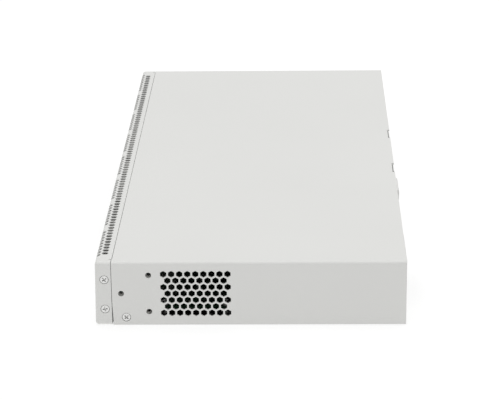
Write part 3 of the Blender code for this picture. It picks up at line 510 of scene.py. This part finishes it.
def cut_hexagons(target, matrices):
    """Cuts hexagonal holes along each matrix's Z, with two corners on its Y."""
    outline = rounded_hexagon(HEXAGON_ACROSS, HEXAGON_CORNER)
    bm = bmesh.new()
    for matrix in matrices:
        add_prism(bm, outline, matrix, PAST)
    cut(target, bm)


def cut_screw_seats(target, nodes):
    """Cuts the countersunk seats of the screws in the case's sides."""
    rim, wide, narrow, deep = 0.7 * MM, 2.97 * MM, 1.55 * MM, 1.9 * MM
    profile = [(0.0, PAST), (wide, PAST), (wide, -rim), (narrow, -deep), (narrow, -PAST), (0.0, -PAST)]
    bm = bmesh.new()
    for node in nodes:
        centre = node_centre(node)
        turned_mesh(bm, profile, side_matrix(side_of(node), centre.y, centre.z), 32)
    cut(target, bm)


def cut_bezel_face(skin):
    """Windows for the ports, and round holes for the lights and the reset button."""
    margin, corner = 0.45 * MM, 0.8 * MM
    light_hole, button_hole = 1.3 * MM, 1.65 * MM
    bm = bmesh.new()
    for node in ("port_block_left", "port_block_right", "console_jack", "sfp_cage"):
        low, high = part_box(node)
        outline = rounded_outline((high[0] - low[0]) / 2 + margin, (high[2] - low[2]) / 2 + margin, corner)
        centre = ((low[0] + high[0]) / 2, FRONT, (low[2] + high[2]) / 2)
        add_prism(bm, outline, Matrix.Translation(centre) @ OUT_OF_FRONT, PAST)
    cut(skin, bm)
    bm = bmesh.new()
    for x, z in light_places():
        add_round(bm, (x, FRONT, z), OUT_OF_BACK, light_hole, 2 * PAST)
    button = node_centre("reset_button")
    add_round(bm, (button.x, FRONT, button.z), OUT_OF_BACK, button_hole, 2 * PAST)
    cut(skin, bm)


def light_places():
    """The three status lights: the light pipe's web runs a little past the outer two."""
    low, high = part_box("light_pipe")
    web_past = 2.0 * MM
    first, last = low[2] + web_past, high[2] - web_past
    return [((low[0] + high[0]) / 2, z) for z in (first, (first + last) / 2, last)]


def bezel_skin():
    bm = bmesh.new()
    add_box(bm, (-SIDE, FRONT, 0.0), (SIDE, BEZEL_END, HEIGHT))
    back_face = [f for f in bm.faces if f.normal.y > 0.5]
    bmesh.ops.delete(bm, geom=back_face, context="FACES_ONLY")
    for vert in bm.verts:
        if vert.co.y < 0 and vert.co.y < BEZEL_END - MM and vert.co.z > HEIGHT / 2:
            vert.co.y += LEAN
    bent = [e for e in bm.edges if not e.is_boundary]
    bmesh.ops.bevel(bm, geom=bent, offset=BEND, segments=BEND_STEPS, profile=0.5, affect="EDGES")
    skin = new_mesh("bezel_skin", bm, MATERIALS["case_paint"], fix_normals=False)
    thicken(skin, BEZEL_SHEET)
    bevel(skin, EDGE_ROUND, 2, 50.0)
    apply_modifiers(skin)
    cut_bezel_face(skin)

    middle = (INNER_HOLES - 1) / 2
    inner = [(n - middle) * BEZEL_PITCH for n in range(INNER_HOLES)]
    cut_hexagons(skin, [Matrix.Translation((x, INNER_ROW_Y, HEIGHT)) for x in inner])
    outer_y = FRONT + BEND * (1 - math.sin(OUTER_TILT))
    outer_z = HEIGHT - BEND * (1 - math.cos(OUTER_TILT))
    tilted = Matrix.Rotation(OUTER_TILT, 4, "X")
    cut_hexagons(skin, [Matrix.Translation((x, outer_y, outer_z)) @ tilted for x in outer_row_places()])
    cut_screw_seats(skin, [n for n in NODES if n.startswith("bezel_screw")])

    # A relief slit at each end of the top flange, beyond which the side flange is shorter
    slit_half, slit_depth = 0.35 * MM, 1.8 * MM
    reliefs, ends = bmesh.new(), bmesh.new()
    for sign in (-1, 1):
        x = sign * RELIEF_X
        start = BEZEL_END - slit_depth
        end = BEZEL_END + PAST
        add_box(reliefs, (x - slit_half, start, HEIGHT - PAST), (x + slit_half, end, HEIGHT + PAST))
        low_x, high_x = sorted((x, sign * (SIDE + PAST)))
        start = BEZEL_END - SIDE_FLANGE_SHORTER
        add_box(ends, (low_x, start, -PAST), (high_x, BEZEL_END + PAST, HEIGHT + PAST))
    cut(skin, reliefs)
    cut(skin, ends)
    smooth(skin)
    finish_piece(skin, "case_paint", "front_bezel")


def cover_outline():
    points = [(SIDE, COVER_LOW[2])]
    for sign in (1, -1):
        for step in range(BEND_STEPS + 1):
            angle = step / BEND_STEPS * math.pi / 2
            if sign < 0:
                angle = math.pi / 2 - angle
            x = SIDE - BEND + BEND * math.cos(angle)
            points.append((sign * x, HEIGHT - BEND + BEND * math.sin(angle)))
    points.append((-SIDE, COVER_LOW[2]))
    return points


def join_rear_tab(skin):
    """The cover's rear tab, folded down over the rear wall around a small bend."""
    screw = node_centre("cover_screw_rear")
    half, low = 13.0 * MM, screw.z - 5.0 * MM
    top, fold, into = HEIGHT - 0.02 * MM, 1.1 * MM, 1.5 * MM
    outer_y, inner_y = BACK + TAB_OUT, BACK + 0.2 * MM
    outline = [(BACK - into, top)]
    fold_steps = 6
    for step in range(fold_steps + 1):
        angle = step / fold_steps * math.pi / 2
        outline.append((outer_y - fold + fold * math.sin(angle), top - fold + fold * math.cos(angle)))
    outline += [(outer_y, low), (inner_y, low), (inner_y, HEIGHT - SHEET), (BACK - into, HEIGHT - SHEET)]
    across = Matrix(((0, 0, 1, screw.x), (1, 0, 0, 0), (0, 1, 0, 0), (0, 0, 0, 1)))
    tab = bmesh.new()
    add_prism(tab, outline, across, half)
    cut(skin, tab, "UNION")
    bm = bmesh.new()
    add_round(bm, (screw.x, BACK, screw.z), OUT_OF_BACK, TAB_SCREW_HOLE, 2 * PAST)
    cut(skin, bm)


def cut_tongue_notches(skin):
    """A notch for each of the tray's tongues, with a small round relief at both ends."""
    half, deep, relief = 8.4 * MM, 1.5 * MM, 0.9 * MM
    notches, reliefs = bmesh.new(), bmesh.new()
    for x in TONGUE_X:
        add_box(notches, (x - half, BACK - deep, HEIGHT - PAST), (x + half, BACK + PAST, HEIGHT + PAST))
        for end in (x - half - relief / 2, x + half + relief / 2):
            add_round(reliefs, (end, BACK - relief, HEIGHT), UPRIGHT, relief, 2 * PAST)
    cut(skin, notches)
    cut(skin, reliefs)


def cover_skin():
    bm = bmesh.new()
    side_start = COVER_START - SIDE_FLANGE_SHORTER
    near = [bm.verts.new((x, side_start, z)) for x, z in cover_outline()]
    far = [bm.verts.new((v.co.x, BACK, v.co.z)) for v in near]
    for i in range(len(near) - 1):
        bm.faces.new((near[i], far[i], far[i + 1], near[i + 1]))
    bm.normal_update()
    bm.faces.ensure_lookup_table()
    if bm.faces[0].normal.x < 0:
        bmesh.ops.reverse_faces(bm, faces=bm.faces)
    # Its inside faces take the dark metal: painted shade of the case's inside
    skin = new_mesh("cover_skin", bm, *SHEET_METAL, fix_normals=False)
    thicken(skin, SHEET)
    bevel(skin, EDGE_ROUND, 2, 50.0)
    apply_modifiers(skin)
    join_rear_tab(skin)
    cut_tongue_notches(skin)

    # Rack-ear holes and the vent of each side
    for side, sign in SIGN.items():
        bm = bmesh.new()
        outwards = side_matrix(side, 0, 0).to_3x3().to_4x4()
        for level in ("front", "upper", "lower"):
            centre = node_centre(f"clinch_nut_{side}_{level}")
            add_round(bm, (sign * SIDE, centre.y, centre.z), outwards, EAR_HOLE, 2 * PAST)
        cut(skin, bm)
        cells = []
        for row in range(VENT_ROWS):
            for column in range(VENT_COLUMNS - row % 2):
                y = VENT_START + (column + (row % 2) / 2) * VENT_PITCH
                cells.append(side_matrix(side, y, VENT_TOP - row * VENT_PITCH * math.sqrt(3) / 2))
        cut_hexagons(skin, cells)
    cut_screw_seats(skin, ["cover_screw_left", "cover_screw_right"])

    # The top starts a little later than the sides, whose seam opens towards its foot.
    bm = bmesh.new()
    add_box(bm, (-RELIEF_X, side_start - PAST, HEIGHT - PAST), (RELIEF_X, COVER_START, HEIGHT + PAST))
    cut(skin, bm)
    opening, foot = 0.9 * MM, 16.0 * MM
    before = side_start - PAST
    wedge = [(before, -PAST), (side_start + opening, -PAST), (side_start, foot), (before, foot)]
    bm = bmesh.new()
    for sign in (-1, 1):
        across = Matrix(((0, 0, 1, sign * SIDE), (1, 0, 0, 0), (0, 1, 0, 0), (0, 0, 0, 1)))
        add_prism(bm, wedge, across, PAST)
    cut(skin, bm)
    smooth(skin)
    finish_piece(skin, "case_paint", "top_cover")


# ---------------------------------------------------------------- screws


def cross_cutter(bm, matrix, reach, width, depth):
    """A cross recess that narrows towards its floor."""
    outline = []
    for quarter in range(4):
        turn = Matrix.Rotation(quarter * math.pi / 2, 2)
        for point in ((reach, -width / 2), (reach, width / 2), (width / 2, width / 2)):
            outline.append(turn @ Vector(point))
    rings = []
    for share, z in ((1.0, 0.3 * MM), (1.0, 0.0), (0.55, -depth)):
        rings.append([bm.verts.new(matrix @ Vector((p.x * share, p.y * share, z))) for p in outline])
    for upper, lower in zip(rings, rings[1:]):
        for n in range(12):
            bm.faces.new((upper[n], lower[n], lower[(n + 1) % 12], upper[(n + 1) % 12]))
    bm.faces.new(rings[0])
    bm.faces.new(list(reversed(rings[-1])))


def thread_profile(radius, start, end, pitch=0.5 * MM, depth=0.18 * MM):
    """The zigzag of a thread, from one depth down to another, on a shank or in a bore."""
    points = []
    for turn in range(int(round((start - end) / pitch))):
        z = start - turn * pitch
        points += [(radius, z), (radius + depth, z - pitch / 2)]
    return [*points, (radius, end)]


def countersunk(node, matrix, spin):
    matrix = matrix @ Matrix.Rotation(spin, 4, "Z")
    head, dome, rim, cone, length = 2.7 * MM, 0.12 * MM, 0.4 * MM, 1.6 * MM, 6.0 * MM
    shank = 1.1 * MM
    profile = [(0.0, 0.0), (head * 0.5, -dome * 0.2), (head - dome, -dome), (head, -2 * dome), (head, -rim)]
    profile += [(shank, -cone), *thread_profile(shank, -cone - 0.2 * MM, -length), (0.0, -length)]
    bm = bmesh.new()
    turned_mesh(bm, profile, matrix)
    screw = new_mesh(f"{node}_fine", bm, MATERIALS["nickel"])
    bm = bmesh.new()
    cross_cutter(bm, matrix, 1.7 * MM, 0.8 * MM, 1.3 * MM)
    cut(screw, bm)
    smooth(screw, 30.0)
    finish_piece(screw, "nickel", node)


def pan_head(node, slot, matrix, head, height, washer=0.0):
    """A pan-head screw whose seat is at the matrix's origin, with a flange under its head if asked."""
    edge, shank, length = height * 0.6, 1.1 * MM, 5.9 * MM
    dome = height * 0.12
    profile = [(0.0, height), (head * 0.6, height - dome * 0.5)]
    profile += arc(head - edge, height - edge, edge - dome, 80, 0)
    if washer:
        thick = 0.6 * MM
        profile += [(head, thick), (washer - 0.1 * MM, thick), (washer, thick - 0.1 * MM), (washer, 0.0)]
    else:
        profile += [(head - dome, 0.0)]
    profile += [(shank, 0.0), *thread_profile(shank, -0.4 * MM, -length), (0.0, -length)]
    bm = bmesh.new()
    turned_mesh(bm, profile, matrix)
    screw = new_mesh(f"{node}_fine", bm, MATERIALS[slot])
    bm = bmesh.new()
    cross_cutter(bm, matrix @ Matrix.Translation((0, 0, height)), head * 0.6, head * 0.3, head * 0.45)
    cut(screw, bm)
    smooth(screw, 30.0)
    finish_piece(screw, slot, node)


def screws():
    spins = {
        "bezel_screw_right_upper": 0.62,
        "bezel_screw_right_lower": 0.15,
        "bezel_screw_left_upper": 0.9,
        "bezel_screw_left_lower": 1.3,
        "cover_screw_right": 0.79,
        "cover_screw_left": 0.3,
    }
    sunk = 0.08 * MM
    for node, spin in spins.items():
        centre = node_centre(node)
        countersunk(node, side_matrix(side_of(node), centre.y, centre.z, sunk), spin)
    for node, spin in (("inlet_screw_left", 0.4), ("inlet_screw_right", 1.1)):
        centre, top = node_centre(node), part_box(node)[1][1]
        countersunk(node, Matrix.Translation((centre.x, top, centre.z)) @ OUT_OF_BACK, spin)
    # The heads of the next two are lower than their CAD nodes'
    centre, height = node_centre("cover_screw_rear"), 0.5 * MM
    matrix = Matrix.Translation((centre.x, BACK + TAB_OUT, centre.z)) @ OUT_OF_BACK
    pan_head("cover_screw_rear", "nickel", matrix, 2.7 * MM, height)
    centre, height = node_centre("earth_screw"), 1.25 * MM
    matrix = Matrix.Translation((centre.x, BACK, centre.z)) @ OUT_OF_BACK
    pan_head("earth_screw", "zinc_steel", matrix, 3.6 * MM, height, 4.6 * MM)
    for node in sorted(n for n in NODES if n.startswith("board_screw")):
        centre, top = node_centre(node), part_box(node)[1][2]
        height = 1.9 * MM
        turn = Matrix.Rotation(centre.x + centre.y, 4, "Z")
        matrix = Matrix.Translation((centre.x, centre.y, top - height)) @ turn
        pan_head(node, "nickel", matrix, 2.8 * MM, height)


def clinch_nuts():
    """Threaded bushes behind the rack-ear holes; each one's shank reaches out through the tray's wall."""
    outer, flange, shank, edge = 3.0 * MM, 3.6 * MM, 1.87 * MM, 0.15 * MM
    bore, pitch, thread_depth = 1.62 * MM, 0.7 * MM, 0.22 * MM
    for node in sorted(n for n in NODES if n.startswith("clinch_nut")):
        low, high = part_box(node)
        centre, length = node_centre(node), high[0] - low[0]
        inset = SIDE - max(abs(low[0]), abs(high[0]))
        reach = inset - SHEET - 0.15 * MM
        matrix = side_matrix(side_of(node), centre.y, centre.z, inset)
        profile = [(bore + edge, reach), (shank - edge, reach), (shank, reach - edge), (shank, 0.0)]
        profile += [(outer - edge, 0.0), (outer, -edge), (outer, -length + 0.8 * MM)]
        profile += [(flange, -length + 0.8 * MM), (flange, -length + edge), (flange - edge, -length)]
        thread = thread_profile(bore, reach - 0.2 * MM, -length, pitch, thread_depth)
        profile += [*reversed(thread), profile[0]]
        bm = bmesh.new()
        turned_mesh(bm, profile, matrix)
        bmesh.ops.remove_doubles(bm, verts=bm.verts, dist=1e-6)
        nut = new_mesh(f"{node}_fine", bm, MATERIALS["zinc_steel"])
        smooth(nut, 30.0)
        finish_piece(nut, "zinc_steel", node)


# ---------------------------------------------------------------- ports


def port_places(node):
    """Each port of a block as (x, foot of its cavity, whether its latch is on top)."""
    low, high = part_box(node)
    middle = (low[0] + high[0]) / 2
    lower = low[2] + JACK_WALL + LATCH_HEIGHT
    upper = high[2] - JACK_WALL - LATCH_HEIGHT - PORT_HEIGHT
    if node == "console_jack":
        return [(middle, lower, False)]
    places = []
    for column in range(PORT_COLUMNS):
        x = middle + (column - (PORT_COLUMNS - 1) / 2) * PORT_PITCH
        places += [(x, lower, False), (x, upper, True)]
    return places


def port_outline(latch_up, margin=0.0):
    """The plug's opening with its latch steps; X along, Y up from the cavity's foot."""
    half = PORT_WIDTH / 2 + margin
    right = [(half, -margin), (half, PORT_HEIGHT + margin)]
    steps = []
    level = -margin
    for width, height in LATCH_STEPS:
        x = width / 2 + margin
        steps += [(x, level), (x, -height - margin)]
        level = -height - margin
    right = list(reversed(steps)) + right
    outline = right + [(-x, y) for x, y in reversed(right)]
    if latch_up:
        outline = [(-x, PORT_HEIGHT - y) for x, y in outline]
    return outline


def cut_port_outlines(target, node, margin, deep):
    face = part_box(node)[0][1]
    bm = bmesh.new()
    for x, foot, latch_up in port_places(node):
        matrix = Matrix.Translation((x, face, foot)) @ OUT_OF_FRONT
        add_prism(bm, port_outline(latch_up, margin), matrix, deep)
    cut(target, bm)


def lens_places(node):
    """The two status lenses of each port, at the latch's sides: (x, z, whether it is the left one)."""
    out, away = PORT_WIDTH / 2 - 1.2 * MM, 1.6 * MM
    for x, foot, latch_up in port_places(node):
        z = foot + PORT_HEIGHT + away if latch_up else foot - away
        yield x - out, z, True
        yield x + out, z, False


def add_bar(bm, start, end, width, thick):
    """A straight bar of the given section; width is along X."""
    start, end = Vector(start), Vector(end)
    along = end - start
    tilt = math.atan2(along.z, along.y)
    size = Matrix.Diagonal((width, along.length, thick, 1.0))
    matrix = Matrix.Translation((start + end) / 2) @ Matrix.Rotation(tilt, 4, "X") @ size
    bmesh.ops.create_cube(bm, size=1.0, matrix=matrix)


def port_contacts(node):
    """The spring wires of every port, slanting back into the cavity from the side opposite the latch."""
    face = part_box(node)[0][1]
    bm = bmesh.new()
    for x, foot, latch_up in port_places(node):
        wall, inward = (foot, 1) if latch_up else (foot + PORT_HEIGHT, -1)
        for number in range(CONTACTS):
            wire_x = x + (number - (CONTACTS - 1) / 2) * CONTACT_PITCH
            bent = (wire_x, face + 3.0 * MM, wall + inward * 0.4 * MM)
            tip = (wire_x, face + 10.5 * MM, wall + inward * 3.0 * MM)
            add_bar(bm, (wire_x, face + 1.4 * MM, wall + inward * 0.5 * MM), bent, 0.42 * MM, 0.25 * MM)
            add_bar(bm, bent, tip, 0.42 * MM, 0.25 * MM)
    wires = new_mesh(f"{node}_contacts", bm, GOLD)
    finish_piece(wires, "plated_brass")


def port_shield(node):
    low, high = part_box(node)
    bm = bmesh.new()
    add_box(bm, low, high)
    open_faces = [f for f in bm.faces if f.normal.y > 0.5 or f.normal.z < -0.5]
    bmesh.ops.delete(bm, geom=open_faces, context="FACES_ONLY")
    bent = [e for e in bm.edges if not e.is_boundary]
    bmesh.ops.bevel(bm, geom=bent, offset=0.5 * MM, segments=3, profile=0.5, affect="EDGES")
    shield = new_mesh(f"{node}_shield", bm, MATERIALS["shield_steel"], fix_normals=False)
    thicken(shield, SHIELD_SHEET)
    apply_modifiers(shield)
    cut_port_outlines(shield, node, 0.25 * MM, PAST)
    bm = bmesh.new()
    half_x, half_z = 1.2 * MM, 0.75 * MM
    for x, z, _ in lens_places(node):
        add_box(bm, (x - half_x, low[1] - PAST, z - half_z), (x + half_x, low[1] + MM, z + half_z))
    cut(shield, bm)
    smooth(shield)
    finish_piece(shield, "shield_steel", node)


def port_housing(node):
    inset = SHIELD_SHEET + 0.05 * MM
    low, high = (Vector(corner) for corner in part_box(node))
    low += Vector((inset, inset, 0.0))
    high -= Vector((inset, inset, inset))
    bm = bmesh.new()
    add_box(bm, low, high)
    housing = new_mesh(f"{node}_housing", bm, MATERIALS["black_plastic"])
    cut_port_outlines(housing, node, 0.0, PORT_DEPTH)
    finish_piece(housing, "black_plastic")
    start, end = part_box(node)[0][1] + 0.06 * MM, low[1] + 0.2 * MM
    half_x, half_z = 1.05 * MM, 0.6 * MM
    for colour, first in ((LENS_GREEN, True), (LENS_AMBER, False)):
        bm = bmesh.new()
        for x, z, is_left in lens_places(node):
            if is_left == first:
                add_box(bm, (x - half_x, start, z - half_z), (x + half_x, end, z + half_z))
        lenses = new_mesh(f"{node}_{colour.name}", bm, colour)
        bevel(lenses, 0.12 * MM)
        finish_piece(lenses, "light_pipe_plastic")


def sfp_cage():
    """Two by two sheet-metal rooms with a connector in each, and rows of round holes in the top."""
    low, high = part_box("sfp_cage")
    bm = bmesh.new()
    add_box(bm, low, high)
    cage = new_mesh("sfp_cage_fine", bm, MATERIALS["shield_steel"])
    rooms, connectors = bmesh.new(), bmesh.new()
    end = high[1] - SFP_WALL
    for column in range(2):
        x = low[0] + SFP_WALL + column * (SFP_WIDTH + SFP_WALL)
        for row in range(2):
            z = low[2] + SFP_WALL + row * (SFP_HEIGHT + SFP_BETWEEN_ROWS)
            add_box(rooms, (x, low[1] - PAST, z), (x + SFP_WIDTH, end, z + SFP_HEIGHT))
            inside = 1.2 * MM
            add_box(
                connectors,
                (x + inside, end - 9.0 * MM, z + inside),
                (x + SFP_WIDTH - inside, end - 0.1 * MM, z + 6.4 * MM),
            )
    cut(cage, rooms)
    holes = bmesh.new()
    rows, columns, radius = 7, 8, 1.1 * MM
    for row in range(rows):
        for column in range(columns):
            x = low[0] + (column + 0.5 + row % 2 * 0.5 - 0.25) * (high[0] - low[0]) / columns
            y = low[1] + (8.0 + 5.0 * row) * MM
            add_round(holes, (x, y, high[2]), UPRIGHT, radius, 0.8 * SFP_WALL * 2, 16)
    cut(cage, holes)
    bevel(cage, 0.12 * MM)
    finish_piece(cage, "shield_steel", "sfp_cage")
    mating = new_mesh("sfp_connectors", connectors, MATERIALS["black_plastic"])
    bevel(mating, 0.3 * MM)
    finish_piece(mating, "black_plastic")

    lights = bmesh.new()
    middle = low[2] + SFP_WALL + SFP_HEIGHT + SFP_BETWEEN_ROWS / 2
    for column in range(2):
        centre = low[0] + SFP_WALL + SFP_WIDTH / 2 + column * (SFP_WIDTH + SFP_WALL)
        for x in (centre - 3.0 * MM, centre + 3.0 * MM):
            add_round(lights, (x, low[1] - 0.02 * MM, middle), OUT_OF_BACK, 0.8 * MM, 0.3 * MM, 24)
    lenses = new_mesh("sfp_lights", lights, MATERIALS["light_pipe_plastic"])
    smooth(lenses, 30.0)
    finish_piece(lenses, "light_pipe_plastic")


def ports():
    for node in ("port_block_left", "port_block_right", "console_jack"):
        port_shield(node)
        port_housing(node)
        port_contacts(node)
    sfp_cage()


# ---------------------------------------------------------------- boards


def free_spot(x, y, top, taken):
    """Whether nothing among those boxes stands on the board at that point."""
    margin = 2.0 * MM
    for low, high in taken:
        beside = x < low[0] - margin or x > high[0] + margin or y < low[1] - margin or y > high[1] + margin
        if not beside and low[2] < top + 2 * MM and high[2] > top:
            return False
    return True


def chip_parts():
    """Chip capacitors and resistors on the main board, in short rows, clear of the larger parts."""
    pick = random.Random(11)
    low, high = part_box("main_board")
    top = high[2]
    sheets = ("main_board", "top_cover", "base_tray", "front_bezel", "psu_insulator")
    taken = [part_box(node) for node in NODES if node not in sheets]
    bodies, ends = bmesh.new(), bmesh.new()
    half, end, wide, tall, apart = 0.55 * MM, 0.25 * MM, 0.42 * MM, 0.6 * MM, 2.2 * MM
    for _ in range(90):
        x0, y0 = pick.uniform(low[0], high[0]), pick.uniform(low[1], high[1])
        placed = []
        for number in range(pick.choice((2, 3, 4, 6))):
            x = x0 + number * apart
            if x > high[0] - 2 * MM or not free_spot(x, y0, top, taken):
                continue
            placed.append(((x - half, y0 - wide, top), (x + half, y0 + wide, top + tall)))
            add_box(bodies, (x - half, y0 - wide, top), (x + half, y0 + wide, top + tall))
            for sign in (-1, 1):
                start, stop = sorted((x + sign * half, x + sign * (half + end)))
                add_box(ends, (start, y0 - wide, top), (stop, y0 + wide, top + tall))
        taken += placed
    made = new_mesh("chip_part_bodies", bodies, CERAMIC)
    finish_piece(made, "board_lacquer")
    made = new_mesh("chip_part_ends", ends, MATERIALS["zinc_steel"])
    finish_piece(made, "board_lacquer")


def chip_leads():
    """Gull-wing leads on all four sides of the smaller chips."""
    pitch, thick, out, margin = 0.8 * MM, 0.35 * MM, 1.0 * MM, 1.4 * MM
    bm = bmesh.new()
    for node in ("phy_chip_left", "phy_chip_right"):
        low, high = (Vector(corner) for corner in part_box(node))
        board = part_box("main_board")[1][2]
        for axis in (0, 1):
            across = 1 - axis
            count = int((high[axis] - low[axis] - 2 * margin) / pitch) + 1
            for number in range(count):
                place = (low[axis] + high[axis]) / 2 + (number - (count - 1) / 2) * pitch
                for edge, sign in ((low[across], -1), (high[across], 1)):
                    start, stop = sorted((edge - sign * 0.3 * MM, edge + sign * out))
                    corner_a, corner_b = [0, 0, board + 0.05 * MM], [0, 0, board + 0.45 * MM]
                    corner_a[axis], corner_b[axis] = place - thick / 2, place + thick / 2
                    corner_a[across], corner_b[across] = start, stop
                    add_box(bm, corner_a, corner_b)
    leads = new_mesh("chip_leads", bm, MATERIALS["zinc_steel"])
    finish_piece(leads, "zinc_steel")


def screw_pads():
    """Bare tinned rings on the board round its screws."""
    bm = bmesh.new()
    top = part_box("main_board")[1][2]
    for node in (n for n in NODES if n.startswith("board_screw")):
        centre = node_centre(node)
        pad, hole = 4.1 * MM, 1.8 * MM
        profile = [(hole, 0.0), (pad, 0.0), (pad, 0.12 * MM), (hole, 0.12 * MM), (hole, 0.0)]
        turned_mesh(bm, profile, Matrix.Translation((centre.x, centre.y, top)))
    pads = new_mesh("screw_pads", bm, MATERIALS["shield_steel"])
    finish_piece(pads, "shield_steel")


def boards():
    chip_parts()
    chip_leads()
    screw_pads()


# ---------------------------------------------------------------- nodes that keep their shape


def keep_nodes():
    """Gives every CAD node its material, and an eased edge where it has sharp ones."""
    slots = {entry["node"]: entry["material_slot"] for entry in frame["record"]["subparts"]}
    soft = {"main_board": 0.1, "psu_board": 0.1, "psu_insulator": 0.05, "switch_heatsink": 0.15}
    for node, obj in NODES.items():
        for slot in obj.material_slots:
            slot.material = TRAY_SHEET if node == "base_tray" else MATERIALS[slots[node]]
        if node.endswith("wire") or node == "output_cable":
            continue
        bevel(obj, soft.get(node, 0.2) * MM, 2, 40.0)


# ---------------------------------------------------------------- studio


def studio():
    bm = bmesh.new()
    bmesh.ops.create_grid(bm, x_segments=1, y_segments=1, size=FLOOR_HALF)
    floor = new_mesh("floor", bm)
    floor.location.z = -FLOOR_DROP
    paper = Surface("floor_paper", (0.3, 0.3, 0.298), 0.9, Specular_IOR_Level=0.1)
    paper.vary_colour(paper.noise(3.0, 2.0), 0.004)
    paper.set("Emission Color", (1.0, 1.0, 1.0, 1.0))
    paper.set("Emission Strength", FLOOR_GLOW)
    floor.data.materials.append(paper.made)

    world = bpy.data.worlds.new("studio")
    bpy.context.scene.world = world
    world.use_nodes = True
    sky = world.node_tree.nodes["Background"]
    sky.inputs["Color"].default_value = (1.0, 1.0, 1.0, 1.0)
    sky.inputs["Strength"].default_value = SKY_STRENGTH

    lamp = bpy.data.lights.new("overhead", "AREA")
    lamp.shape = "RECTANGLE"
    lamp.size, lamp.size_y = LAMP_SIZE, LAMP_SIZE
    lamp.energy = LAMP_POWER
    overhead = bpy.data.objects.new("overhead", lamp)
    overhead.location = LAMP_PLACE
    bpy.context.scene.collection.objects.link(overhead)
    bpy.context.scene.view_settings.view_transform = "Standard"


def camera():
    lens = bpy.data.cameras.new("camera")
    lens.lens = CAMERA_LENS
    lens.sensor_width = SENSOR_WIDTH
    lens.sensor_fit = "HORIZONTAL"
    lens.clip_start, lens.clip_end = 0.01, 50.0
    made = bpy.data.objects.new("camera", lens)
    turn = Matrix.Rotation(math.radians(90 + CAMERA_YAW), 4, "Z")
    turn = turn @ Matrix.Rotation(math.radians(90 - CAMERA_PITCH), 4, "X")
    turn = turn @ Matrix.Rotation(math.radians(CAMERA_ROLL), 4, "Z")
    made.matrix_world = Matrix.Translation(CAMERA_PLACE) @ turn
    bpy.context.scene.collection.objects.link(made)
    bpy.context.scene.camera = made


camera()
studio()
keep_nodes()
bezel_skin()
cover_skin()
screws()
clinch_nuts()
ports()
boards()
